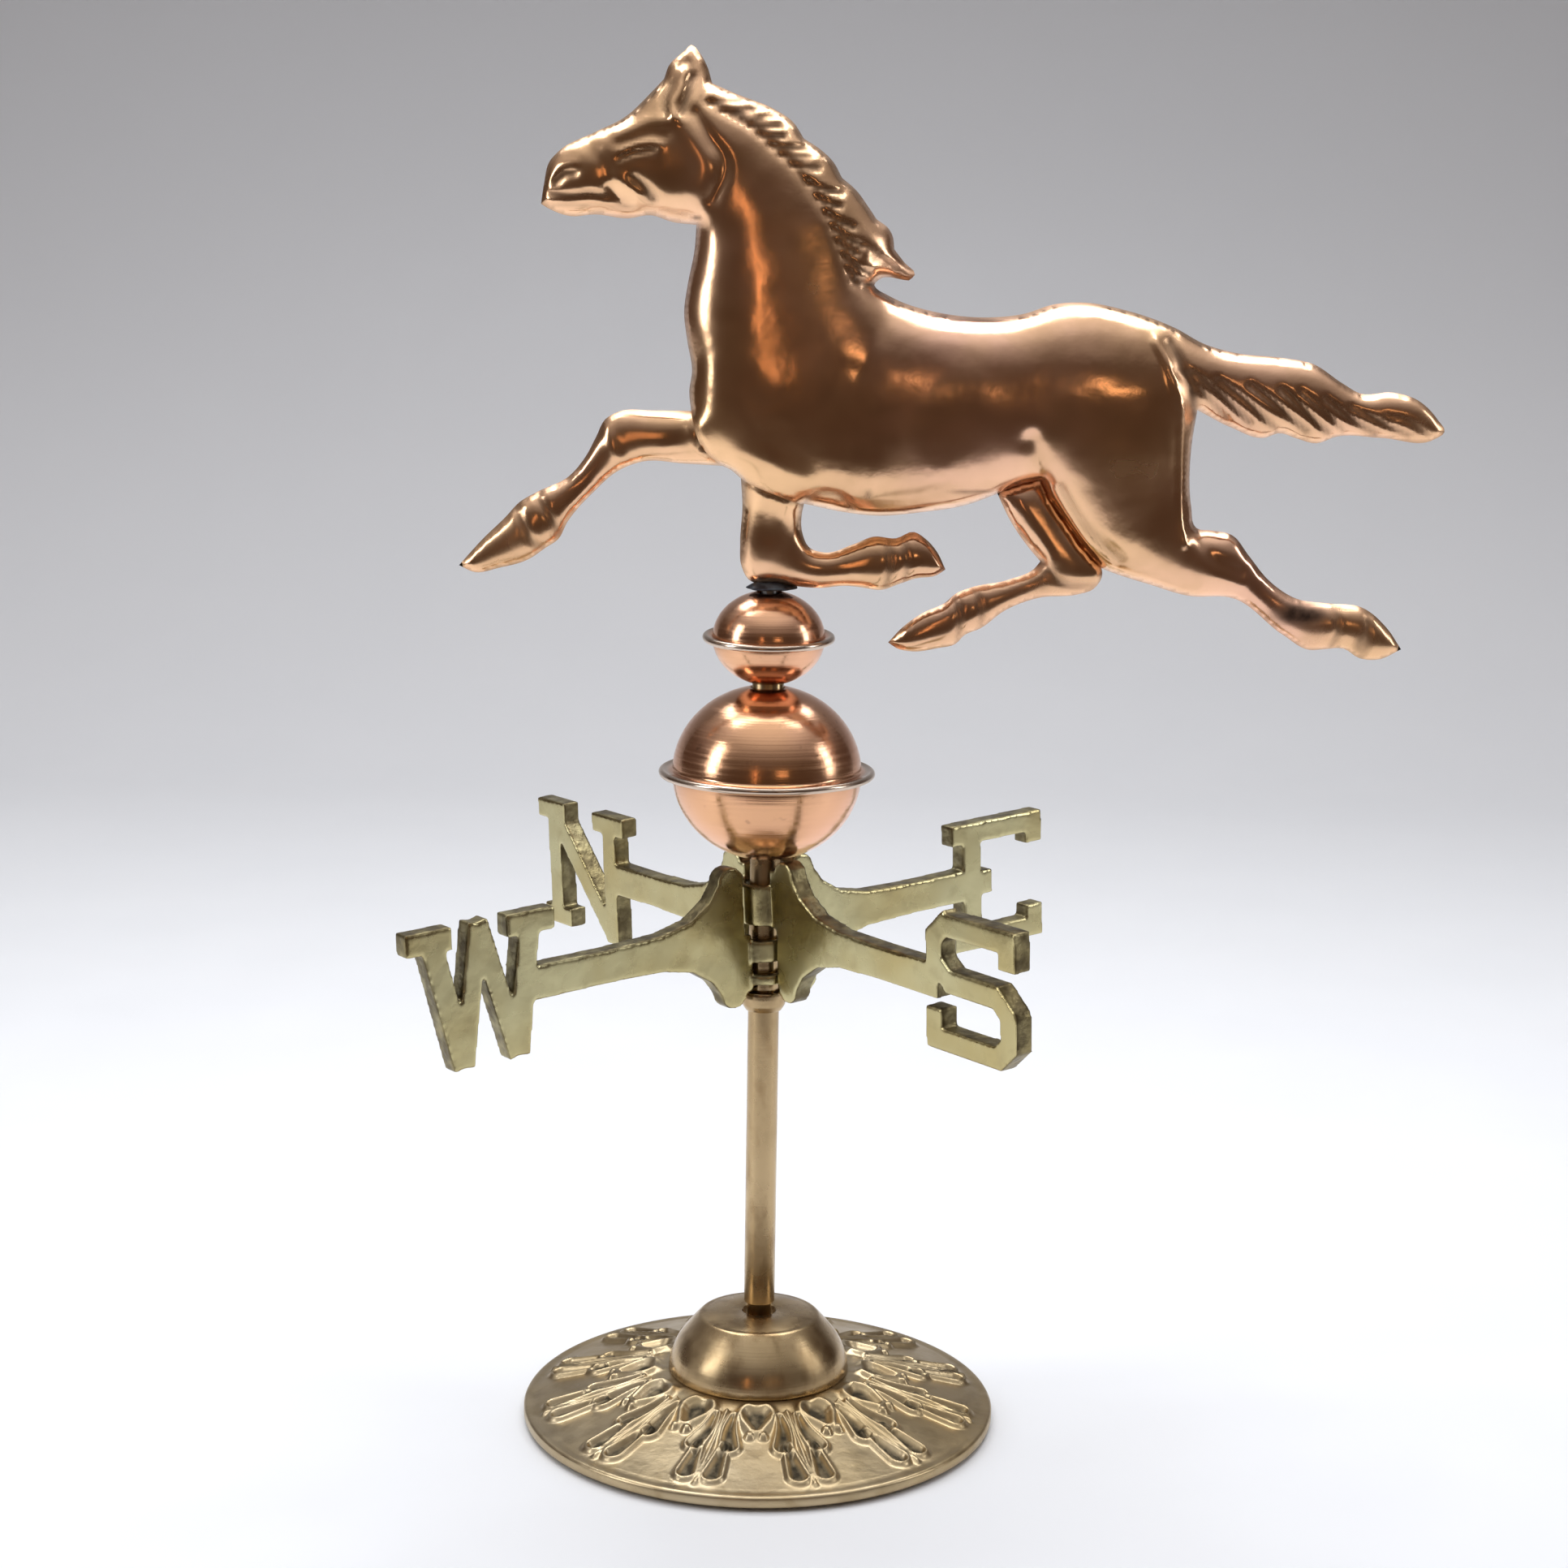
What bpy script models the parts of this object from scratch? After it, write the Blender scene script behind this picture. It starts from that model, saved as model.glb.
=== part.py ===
"""Copper horse weather vane on a cast brass display base.

World frame: the pole's axis is the Z axis, the table is z = 0, and the horse faces -X.
The horse lies in the XZ plane; its near side is towards -Y.
Every length below is written in millimetres and scaled to metres by MM.
"""
import math

import bmesh
import bpy
import numpy as np
from mathutils import Matrix, Vector
from mathutils.geometry import delaunay_2d_cdt

MM = 0.001
FIT_GAP = 0.3 * MM

# Base
PAD_RADIUS = 94.0 * MM
PAD_THICKNESS = 1.2 * MM
DISH_RADIUS = 97.9 * MM
DISH_RIM_HEIGHT = 4.9 * MM
DISH_WALL = 3.5 * MM
DISH_TOP = 20.0 * MM
HUB_FOOT_RADIUS = 37.5 * MM
HUB_TOP_RADIUS = 24.5 * MM
HUB_TOP = 43.5 * MM
HUB_CROWN = 45.3 * MM
HUB_SOCKET_RADIUS = 6.9 * MM

# Pole and what it carries
POLE_RADIUS = 6.35 * MM
POLE_FOOT_RADIUS = 5.0 * MM
POLE_NECK_TOP = 49.5 * MM
POLE_TOP = 318.0 * MM
POLE_BORE_RADIUS = 3.6 * MM
POLE_BORE_FLOOR = 200.0 * MM
BUSH_RADIUS = 4.9 * MM
BUSH_DEPTH = 12.0 * MM
BUSH_FLANGE = 2.0 * MM
SPINDLE_RADIUS = 3.175 * MM
SPINDLE_TOP = 364.0 * MM
THRUST_BALL_RADIUS = 3.175 * MM
COLLAR_BOTTOM = 175.0 * MM
COLLAR_TOP = 183.4 * MM
COLLAR_RADIUS = 9.3 * MM

# Directionals: two castings, leaning a little together on the loose pole
WEST_HEADING = math.radians(217.06)
NORTH_HEADING = math.radians(127.06)
DIRECTIONAL_LEAN = Vector((-0.048, -0.022, 1.0)).normalized()
DIRECTIONAL_MIDDLE = 208.6 * MM
NORTH_SOUTH_LIFT = 2.2 * MM
PLATE_THICKNESS = 8.0 * MM
STRAP_BORE = 7.4 * MM
STRAP_RADIUS = 10.6 * MM
STRAP_CLEARANCE = 12.4 * MM

# Globes: centre height, equator radius, half height, flange radius, holes
LARGE_GLOBE_HEIGHT = 273.5 * MM
LARGE_GLOBE_RADIUS = 38.1 * MM
LARGE_GLOBE_HALF = 35.4 * MM
LARGE_FLANGE_RADIUS = 43.6 * MM
SMALL_GLOBE_HEIGHT = 328.2 * MM
SMALL_GLOBE_RADIUS = 22.5 * MM
SMALL_GLOBE_HALF = 18.9 * MM
SMALL_FLANGE_RADIUS = 26.5 * MM
SMALL_GLOBE_TILT = math.radians(3.0)
GLOBE_WALL = 0.8 * MM
POLE_HOLE_RADIUS = 7.0 * MM
TILTED_HOLE_RADIUS = 8.2 * MM
SPINDLE_HOLE_RADIUS = 5.2 * MM

# Horse
SEAM_HALF_GAP = 0.15 * MM
SHELL_WALL = 0.9 * MM
GIRTH_LIMIT = 31.0 * MM
GIRTH_GROWTH = 0.98
OUTLINE_STEP = 6.0 * MM
GRID_STEP = 10.0 * MM
KNEE_SOLE = 349.2 * MM

# Horse outlines in millimetres, x along the body and z above the table.
# A third value of 1 marks a corner; the line runs smoothly through the other points.
HEAD_AND_MANE = [
    (-90.8, 496.5, 1), (-89.6, 504.5), (-87.6, 512.5), (-83.5, 517.0), (-70, 524),
    (-58.5, 529.8), (-48, 539.6), (-43.4, 544.4, 1), (-41.2, 550), (-37.6, 553.4, 1),
    (-35.2, 555.4), (-33, 557.3), (-30, 554.6), (-27, 549.8), (-24.8, 543, 1),
    (-15.4, 539.2), (0, 533.3), (6.5, 529), (10.8, 522.8, 1), (17.8, 518.4),
    (22.5, 514), (25.8, 508.2, 1), (31, 504), (36.5, 497), (39.4, 492.8, 1),
    (44.6, 488.8), (46.2, 485.5), (46.6, 481.4, 1), (51, 476), (54.9, 471.6),
    (52.6, 469.4, 1), (40.8, 469.4), (39.2, 467.4), (41.4, 465.2, 1),
]
BACK_AND_TAIL = [
    (50.5, 460.9), (63.6, 457.4), (84.5, 455.7), (98, 457.3), (109.5, 461.1),
    (120.3, 462), (138.5, 459), (157, 452.8), (169.4, 446.5), (181.4, 443.4),
    (200.3, 441.7), (211.5, 439.7), (223.8, 432.2), (231, 428.4), (243.7, 429),
    (253.5, 426.2), (262.1, 418.3), (264.8, 414), (261, 411), (240, 411.2),
    (222.3, 411.4), (214.6, 408.7), (207, 410.4), (199.3, 412.4), (194.6, 410.6),
    (180.5, 414.5), (167.2, 421, 1),
]
NEAR_HIND_LEG = [
    (165.6, 408), (165.2, 397), (166.4, 383), (168.8, 374.6), (175, 373.7),
    (183, 372), (190, 364), (198.8, 353.9), (210, 347), (222.6, 345.4),
    (236.1, 343.9), (246.5, 335.7), (252.5, 327.4, 1), (243.8, 323.2), (236, 323.6),
    (229.5, 327.3), (222, 327), (216, 326.6), (204.9, 332.6), (184.6, 346.8),
    (167, 347.5), (150.9, 351.9), (134.4, 357), (130.8, 358.4, 1), (123.8, 365.3),
    (115.2, 377.1), (109.4, 385.1), (105.8, 392.4, 1),
]
BELLY = [(97, 390), (88.5, 386.5), (77.4, 382.3), (60, 379.2), (42, 377.5), (28, 378.9)]
FOLD_JOINT = [(13.2, 381.8, 1), (-11.9, 391.4, 1)]
BREAST = [(-16.1, 394.8)]
REACH_JOINT = [(-19.2, 396.2, 1), (-27, 404), (-31.8, 417.6, 1)]
CHEST_AND_JAW = [
    (-32.6, 425.4), (-31.6, 432.9), (-33.6, 445), (-34.9, 455.9), (-33.4, 467.6),
    (-31.1, 479.6), (-30.4, 489.4, 1), (-39.8, 490.4), (-48, 492.8), (-57, 491.5),
    (-70, 492.8), (-79.3, 492), (-88.2, 495),
]
FORELEG_REACH = [
    (-47, 417.5), (-59.8, 417), (-65.6, 413.8), (-69.1, 407), (-74, 398),
    (-79.9, 391.2), (-92.1, 385), (-99.3, 380.8), (-104.7, 375), (-114.4, 365.5),
    (-123.5, 355.3, 1), (-117.2, 352.6), (-107.9, 354.4), (-95.6, 358.2), (-89, 362.8),
    (-84.1, 366.2), (-80.5, 373), (-69.8, 385.5), (-61, 393.3), (-50.4, 397.5),
    (-34.6, 396.9),
]
FORELEG_FOLD = [
    (-11.2, 381), (-11.9, 366), (-11.2, 356.5), (-8.4, 351.4), (-4, 349.3, 1),
    (9.5, 349.0, 1), (20, 348.4), (30, 349.4), (36, 349), (44.5, 348),
    (51.6, 350.5), (58.1, 352.8), (66.4, 354.2), (69.8, 356.6, 1), (66.2, 363.7),
    (61.3, 368.9), (57, 371.3), (50, 368.7), (41, 369.2), (33.4, 366.2),
    (21.6, 362.6), (15.5, 364.6), (12.9, 369.6), (12.3, 377),
]
FAR_HIND_LEG = [
    (89.3, 385.8, 1), (97.2, 389.3), (105.4, 391.5, 1), (108.8, 384.7), (114.6, 376.7),
    (123.2, 364.9), (129.9, 358.2, 1), (131.7, 356), (128.9, 349.7), (122.6, 347.4),
    (107.1, 345.8), (93.7, 340.4), (84.2, 333.1), (78.1, 330.4), (74.6, 326.8),
    (67.5, 325), (57.3, 323.5), (51, 324.8), (47.7, 327, 1), (52.7, 332.6),
    (61, 338.9), (69.8, 343.1), (74.2, 347), (80.5, 349.6), (95.1, 352.9),
    (105.2, 357.6), (107.4, 360.4, 1), (102.6, 365.8), (94.9, 376.5),
]

MATERIALS = {
    "copper": ((0.80, 0.42, 0.28), 0.16, 1.0),
    "cast_brass": ((0.62, 0.55, 0.30), 0.34, 1.0),
    "base_brass": ((0.52, 0.38, 0.17), 0.38, 1.0),
    "turned_brass": ((0.58, 0.43, 0.20), 0.24, 1.0),
    "steel": ((0.55, 0.55, 0.56), 0.30, 1.0),
    "solder": ((0.16, 0.17, 0.18), 0.55, 0.8),
    "felt": ((0.05, 0.06, 0.05), 0.95, 0.0),
}


# Scene and material helpers

def clear_scene():
    for item in list(bpy.data.objects):
        bpy.data.objects.remove(item, do_unlink=True)


def new_collection(name):
    collection = bpy.data.collections.new(name)
    bpy.context.scene.collection.children.link(collection)
    return collection


def make_material(name):
    colour, roughness, metallic = MATERIALS[name]
    material = bpy.data.materials.new(name)
    material.use_nodes = True
    shader = material.node_tree.nodes["Principled BSDF"]
    shader.inputs["Base Color"].default_value = (*colour, 1.0)
    shader.inputs["Roughness"].default_value = roughness
    shader.inputs["Metallic"].default_value = metallic
    return material


def add_object(name, mesh, collection, material=None):
    obj = bpy.data.objects.new(name, mesh)
    if material is not None:
        mesh.materials.append(material)
    collection.objects.link(obj)
    return obj


def mesh_from(name, points, faces):
    mesh = bpy.data.meshes.new(name)
    mesh.from_pydata([tuple(point) for point in points], [], faces)
    mesh.update()
    return mesh


def as_cutter(obj):
    obj.hide_render = True
    obj.display_type = "WIRE"
    return obj


def add_boolean(obj, other, operation):
    modifier = obj.modifiers.new(operation.title() + "_" + other.name, "BOOLEAN")
    modifier.operation = operation
    modifier.solver = "EXACT"
    modifier.object = other


# Turned shapes

def turned(name, profile, steps, collection, material=None, height=0.0):
    """A closed (radius, z) profile swept round the Z axis, with the object's origin at height."""
    points = []
    faces = []
    count = len(profile)
    for step in range(steps):
        angle = 2.0 * math.pi * step / steps
        for radius, z in profile:
            points.append((radius * math.cos(angle), radius * math.sin(angle), z - height))
    for step in range(steps):
        after = (step + 1) % steps
        for index in range(count):
            following = (index + 1) % count
            faces.append((step * count + index, after * count + index,
                          after * count + following, step * count + following))
    obj = add_object(name, mesh_from(name, points, faces), collection, material)
    weld_and_face_out(obj.data)
    obj.location.z = height
    return obj


def weld_and_face_out(mesh):
    bm = bmesh.new()
    bm.from_mesh(mesh)
    bmesh.ops.remove_doubles(bm, verts=bm.verts, dist=1e-7)
    bmesh.ops.recalc_face_normals(bm, faces=bm.faces)
    bm.to_mesh(mesh)
    bm.free()


def disc_profile(radius, bottom, top):
    return [(0.0, bottom), (radius, bottom), (radius, top), (0.0, top)]


def ring_profile(inner, outer, bottom, top):
    return [(inner, bottom), (outer, bottom), (outer, top), (inner, top)]


def arc(centre_r, centre_z, radius_r, radius_z, start, end, count):
    """Points on an ellipse from start to end degrees, both ends included."""
    points = []
    for index in range(count):
        angle = math.radians(start + (end - start) * index / (count - 1))
        points.append((centre_r + radius_r * math.cos(angle),
                       centre_z + radius_z * math.sin(angle)))
    return points


# Base and pole

def build_base(collection, cutters, materials):
    pad_top = PAD_THICKNESS
    turned("felt_pad", disc_profile(PAD_RADIUS, 0.0, pad_top), 48, collection,
           materials["felt"])

    rim_bottom = pad_top + FIT_GAP
    rim_top = rim_bottom + DISH_RIM_HEIGHT
    bore = POLE_FOOT_RADIUS + FIT_GAP
    rim_inner = DISH_RADIUS - 2.0 * DISH_WALL
    dish = [
        (DISH_RADIUS - 0.6 * MM, rim_bottom),
        (DISH_RADIUS, rim_bottom + 0.6 * MM),
        (DISH_RADIUS, rim_top - 0.6 * MM),
        (DISH_RADIUS - 1.0 * MM, rim_top),
        (DISH_RADIUS - 8.0 * MM, rim_top + 1.0 * MM),
        (HUB_FOOT_RADIUS + 6.0 * MM, DISH_TOP - 1.2 * MM),
        (HUB_FOOT_RADIUS + 1.5 * MM, DISH_TOP),
        (bore, DISH_TOP),
        (bore, DISH_TOP - DISH_WALL),
        (HUB_FOOT_RADIUS, DISH_TOP - DISH_WALL),
        (rim_inner - 8.0 * MM, rim_top + 1.0 * MM - 0.6 * DISH_WALL),
        (rim_inner, rim_bottom + 1.2 * MM),
        (rim_inner, rim_bottom),
    ]
    turned("base_dish", dish, 48, collection, materials["base_brass"])

    foot = DISH_TOP + FIT_GAP
    hub = [
        (bore, foot),
        (HUB_FOOT_RADIUS - 0.8 * MM, foot),
        (HUB_FOOT_RADIUS, foot + 0.8 * MM),
        (HUB_FOOT_RADIUS - 0.3 * MM, foot + 3.0 * MM),
        (HUB_FOOT_RADIUS - 2.6 * MM, foot + 8.5 * MM),
        (HUB_FOOT_RADIUS - 6.6 * MM, foot + 14.5 * MM),
        (HUB_TOP_RADIUS + 1.6 * MM, HUB_TOP - 2.4 * MM),
        (HUB_TOP_RADIUS, HUB_TOP - 0.4 * MM),
        (HUB_TOP_RADIUS - 1.2 * MM, HUB_TOP + 0.2 * MM),
        (0.6 * HUB_TOP_RADIUS, HUB_CROWN - 0.5 * MM),
        (HUB_SOCKET_RADIUS + 0.5 * MM, HUB_CROWN),
        (HUB_SOCKET_RADIUS, HUB_CROWN - 0.5 * MM),
        (HUB_SOCKET_RADIUS, HUB_CROWN - 4.0 * MM),
        (bore, HUB_CROWN - 4.0 * MM),
    ]
    turned("base_hub", hub, 40, collection, materials["turned_brass"])

    washer_top = DISH_TOP - DISH_WALL - FIT_GAP
    washer_bottom = washer_top - 1.6 * MM
    turned("base_washer", ring_profile(bore, 11.0 * MM, washer_bottom, washer_top), 24,
           collection, materials["steel"])
    nut_top = washer_bottom - FIT_GAP
    nut_bottom = nut_top - 6.0 * MM
    nut = turned("base_nut", disc_profile(9.4 * MM, nut_bottom, nut_top), 6, collection,
                 materials["steel"])
    hole = turned("nut_hole", disc_profile(bore, nut_bottom - MM, nut_top + MM), 24, cutters)
    add_boolean(nut, as_cutter(hole), "DIFFERENCE")


def build_pole(collection, materials):
    bush_seat = POLE_TOP - BUSH_DEPTH
    pole = [
        (0.0, 5.5 * MM),
        (POLE_FOOT_RADIUS - 0.6 * MM, 5.5 * MM),
        (POLE_FOOT_RADIUS, 6.1 * MM),
        (POLE_FOOT_RADIUS, POLE_NECK_TOP - 1.2 * MM),
        (POLE_RADIUS, POLE_NECK_TOP),
        (POLE_RADIUS, POLE_TOP - 0.5 * MM),
        (POLE_RADIUS - 0.4 * MM, POLE_TOP),
        (BUSH_RADIUS + FIT_GAP, POLE_TOP),
        (BUSH_RADIUS + FIT_GAP, bush_seat),
        (POLE_BORE_RADIUS, bush_seat),
        (POLE_BORE_RADIUS, POLE_BORE_FLOOR),
        (0.0, POLE_BORE_FLOOR),
    ]
    turned("pole", pole, 28, collection, materials["turned_brass"])

    bush_bottom = bush_seat + FIT_GAP
    flange_bottom = POLE_TOP + FIT_GAP
    bush = [
        (POLE_BORE_RADIUS, bush_bottom),
        (BUSH_RADIUS, bush_bottom),
        (BUSH_RADIUS, flange_bottom),
        (POLE_RADIUS, flange_bottom),
        (POLE_RADIUS, flange_bottom + BUSH_FLANGE),
        (POLE_BORE_RADIUS, flange_bottom + BUSH_FLANGE),
    ]
    turned("pole_bush", bush, 20, collection, materials["turned_brass"])

    plug_bottom = POLE_BORE_FLOOR + FIT_GAP
    plug_top = plug_bottom + 2.0 * MM
    turned("thrust_plug", disc_profile(POLE_BORE_RADIUS - FIT_GAP, plug_bottom, plug_top), 20,
           collection, materials["steel"])

    ball_height = plug_top + FIT_GAP + THRUST_BALL_RADIUS
    ball = arc(0.0, ball_height, THRUST_BALL_RADIUS, THRUST_BALL_RADIUS, -90, 90, 8)
    ball[0] = (0.0, ball_height - THRUST_BALL_RADIUS)
    ball[-1] = (0.0, ball_height + THRUST_BALL_RADIUS)
    turned("thrust_ball", ball, 14, collection, materials["steel"], height=ball_height)
    return ball_height + THRUST_BALL_RADIUS + FIT_GAP


def build_collar(collection, cutters, materials):
    inner = POLE_RADIUS + FIT_GAP
    recess = COLLAR_RADIUS - 1.3 * MM
    collar = [
        (inner, COLLAR_BOTTOM),
        (inner + 0.6 * MM, COLLAR_BOTTOM),
        (COLLAR_RADIUS - 1.0 * MM, COLLAR_BOTTOM + 1.6 * MM),
        (COLLAR_RADIUS - 0.2 * MM, COLLAR_BOTTOM + 3.2 * MM),
        (COLLAR_RADIUS, COLLAR_TOP - 1.6 * MM),
        (COLLAR_RADIUS - 0.2 * MM, COLLAR_TOP),
        (recess, COLLAR_TOP),
        (recess, COLLAR_TOP - 2.0 * MM),
        (inner, COLLAR_TOP - 2.2 * MM),
    ]
    obj = turned("stop_collar", collar, 28, collection, materials["turned_brass"])

    screw_height = COLLAR_BOTTOM + 3.6 * MM
    screw_radius = 1.1 * MM
    hole = turned("collar_screw_hole", disc_profile(screw_radius + FIT_GAP, 0.0, 14.0 * MM), 12,
                  cutters)
    place_pointing_back(hole, screw_height, 0.0)
    add_boolean(obj, as_cutter(hole), "DIFFERENCE")

    length = COLLAR_RADIUS - inner - 0.2 * MM
    screw = turned("collar_set_screw", disc_profile(screw_radius, 0.0, length), 12, collection,
                   materials["steel"])
    place_pointing_back(screw, screw_height, inner + 0.1 * MM)


def place_pointing_back(obj, height, start):
    """Turn a piece built along Z so that it runs along +Y from start."""
    obj.rotation_euler.x = math.radians(-90)
    obj.location = (0.0, start, height)


# Globes

def half_globe_profile(radius, half_height, flange_radius, hole_radius, lip):
    """Upper half of a globe about its centre; lip adds the rolled edge that grips the other half."""
    seam = SEAM_HALF_GAP
    wall = GLOBE_WALL
    flange_top = seam + 0.9 * MM
    crown = math.degrees(math.acos(hole_radius / radius))
    inner_radius = radius - wall
    inner_half = half_height - wall
    inner_crown = math.degrees(math.acos(hole_radius / inner_radius))
    foot = math.degrees(math.asin((flange_top + 0.6 * MM) / half_height))
    outer = arc(0.0, 0.0, radius, half_height, foot, crown, 9)
    inner = arc(0.0, 0.0, inner_radius, inner_half, inner_crown, 6.0, 6)
    rim = [(inner_radius, seam)]
    if lip:
        rim += [
            (flange_radius - 1.3 * MM, seam),
            (flange_radius - 1.3 * MM, -seam - 0.9 * MM),
            (flange_radius - 0.9 * MM, -1.6 * MM),
            (flange_radius - 0.2 * MM, -1.2 * MM),
            (flange_radius, 0.0),
            (flange_radius - 0.2 * MM, 1.3 * MM),
            (flange_radius - 1.2 * MM, 1.6 * MM),
            (flange_radius - 2.2 * MM, flange_top),
        ]
    else:
        rim += [(flange_radius - 1.7 * MM, seam), (flange_radius - 1.7 * MM, flange_top)]
    rim.append((radius + 0.5 * MM, flange_top))
    return rim + outer + inner


def build_globe(prefix, height, radius, half_height, flange_radius, bottom_hole, top_hole,
                steps, tilt, collection, material):
    upper = half_globe_profile(radius, half_height, flange_radius, top_hole, lip=True)
    lower = half_globe_profile(radius, half_height, flange_radius, bottom_hole, lip=False)
    lower = [(r, -z) for r, z in reversed(lower)]
    for suffix, profile in (("upper", upper), ("lower", lower)):
        obj = turned(prefix + "_" + suffix, profile, steps, collection, material)
        obj.location.z = height
        obj.rotation_euler.x = tilt


# Directionals

def bar(start, end, width):
    """Four corners of a straight bar between two points."""
    direction = (Vector(end) - Vector(start)).normalized()
    side = Vector((-direction.y, direction.x)) * (width / 2)
    first = Vector(start)
    last = Vector(end)
    return [first - side, last - side, last + side, first + side]


def hub_and_arm(reach):
    """Half of a casting: the flange beside the pole and the arm out to the letter."""
    inner = STRAP_BORE / MM + 1.0
    upper = [(reach, 6.9), (78, 6.6), (52, 7.4), (38, 10.4), (28.5, 16.5), (24.2, 22.5)]
    lobe = [(23.0, 26.5), (20.5, 28.8), (17.5, 29.3), (14.5, 28.6), (12.6, 26.5)]
    outline = upper + lobe + [(inner, 26.0), (inner, -26.0)]
    outline += [(a, -z) for a, z in reversed(lobe)]
    outline += [(a, -z) for a, z in reversed(upper)]
    return outline


def letter_bars(letter):
    """The strokes of one letter as bars, with a from the pole and z from the arm's middle."""
    if letter == "W":
        return [bar((112.5, 24), (120, -27), 9.5), bar((120, -27), (135, 28.5), 8.5),
                bar((135, 28.5), (144, -27), 8.5), bar((144, -27), (155.5, 24), 9.5),
                bar((101, 24.5), (122.5, 24.5), 9), bar((146.5, 24.5), (166.5, 24.5), 9)]
    if letter == "E":
        return [bar((109, -27), (109, 26), 10), bar((98, 22.5), (148.5, 22.5), 9),
                bar((98, -24.5), (148.5, -24.5), 9), bar((144, 26.9), (144, 13), 9),
                bar((144, -28.9), (144, -14.5), 9), bar((106, 0), (120, 0), 10.5)]
    if letter == "N":
        return [bar((109.5, -30), (109.5, 25.5), 9.5), bar((153.5, -26), (153.5, 25.5), 9.5),
                bar((153.5, 22.5), (109.5, -26.5), 9.5), bar((98, 23.5), (122, 23.5), 8.5),
                bar((144, 23.5), (166, 23.5), 8.5), bar((142.5, -24.5), (164, -24.5), 8.5)]
    return [bar((111, 6.5), (111, 19.5), 9.5), bar((109.5, 16), (119.5, 25), 9),
            bar((117, 22.5), (154, 22.5), 9), bar((152.5, 26.8), (152.5, 11.5), 9.5),
            bar((109.5, 9), (120, 0.5), 9), bar((117, 1), (147.5, 0.5), 9.5),
            bar((144.5, 1.5), (154.5, -7), 9), bar((153, -5), (153, -18), 9.5),
            bar((154.5, -15.5), (145, -24), 9), bar((147.5, -22.5), (108, -22.5), 9),
            bar((110.5, -26.8), (110.5, -10.5), 9.5)]


def extruded(name, outline, thickness, collection):
    """A flat outline in the casting's own plane, made into a plate."""
    bm = bmesh.new()
    corners = [bm.verts.new((a * MM, -thickness / 2, z * MM)) for a, z in outline]
    face = bm.faces.new(corners)
    grown = bmesh.ops.extrude_face_region(bm, geom=[face])
    moved = [item for item in grown["geom"] if isinstance(item, bmesh.types.BMVert)]
    bmesh.ops.translate(bm, verts=moved, vec=(0.0, thickness, 0.0))
    bmesh.ops.recalc_face_normals(bm, faces=bm.faces)
    bmesh.ops.triangulate(bm, faces=bm.faces)
    mesh = bpy.data.meshes.new(name)
    bm.to_mesh(mesh)
    bm.free()
    return add_object(name, mesh, collection)


def half_strap(name, bottom, top, side, collection):
    """Half a ring round the pole, a little over 180 degrees, on one side of the plate."""
    steps = 14
    overlap = math.radians(8)
    start = -overlap if side > 0 else math.pi - overlap
    sweep = math.pi + 2.0 * overlap
    points = []
    for index in range(steps + 1):
        angle = start + sweep * index / steps
        for radius in (STRAP_BORE, STRAP_RADIUS):
            for z in (bottom, top):
                points.append((radius * math.cos(angle), radius * math.sin(angle), z))
    faces = [(0, 1, 3, 2)]
    for index in range(steps):
        here = 4 * index
        there = here + 4
        for first, second in ((0, 1), (1, 3), (3, 2), (2, 0)):
            faces.append((here + second, here + first, there + first, there + second))
    last = 4 * steps
    faces.append((last + 2, last + 3, last + 1, last))
    obj = add_object(name, mesh_from(name, points, faces), collection)
    weld_and_face_out(obj.data)
    return obj


def casting_pose(heading, lift, pivot):
    """Lean the casting about its place on the pole, and turn its first letter to heading."""
    up = Vector((0.0, 0.0, 1.0))
    lean = up.rotation_difference(DIRECTIONAL_LEAN).to_matrix().to_4x4()
    middle = Matrix.Translation((0.0, 0.0, DIRECTIONAL_MIDDLE + lift - pivot))
    turn = Matrix.Rotation(heading, 4, "Z")
    return Matrix.Translation((0.0, 0.0, pivot)) @ lean @ middle @ turn


def build_casting(name, letters, heading, lift, own_zone, straps, collection, cutters,
                  material):
    """One casting: an arm and letter each way, and half straps round the pole."""
    pieces = []
    for sign, letter in ((1.0, letters[0]), (-1.0, letters[1])):
        outlines = [hub_and_arm(113.0)] + letter_bars(letter)
        for index, outline in enumerate(outlines):
            placed = [(sign * a, z) for a, z in outline]
            part = extruded(f"{name}_{letter}_{index}", placed, PLATE_THICKNESS, cutters)
            pieces.append(part)
    for index, (bottom, top, side) in enumerate(straps):
        pieces.append(half_strap(f"{name}_strap_{index}", bottom, top, side, cutters))

    zone_bottom, zone_top = own_zone
    far = 60.0 * MM
    bottom_cut = ring_cutter(name + "_clear_low", -far, zone_bottom, STRAP_CLEARANCE, cutters)
    top_cut = ring_cutter(name + "_clear_high", zone_top, far, STRAP_CLEARANCE, cutters)
    bore_cut = ring_cutter(name + "_bore", -far, far, STRAP_BORE, cutters)

    obj = add_object(name, pieces[0].data.copy(), collection, material)
    for piece in pieces[1:]:
        add_boolean(obj, as_cutter(piece), "UNION")
    for cutter in (bottom_cut, top_cut, bore_cut):
        add_boolean(obj, as_cutter(cutter), "DIFFERENCE")
    as_cutter(pieces[0])

    depsgraph = bpy.context.evaluated_depsgraph_get()
    finished = bpy.data.meshes.new_from_object(obj.evaluated_get(depsgraph))
    obj.modifiers.clear()
    obj.data = finished
    tidy_casting(finished)
    obj.matrix_world = casting_pose(heading, lift, DIRECTIONAL_MIDDLE + lift
                                    + (zone_bottom + zone_top) / 2)
    for piece in pieces + [bottom_cut, top_cut, bore_cut]:
        bpy.data.objects.remove(piece, do_unlink=True)
    return obj


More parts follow.
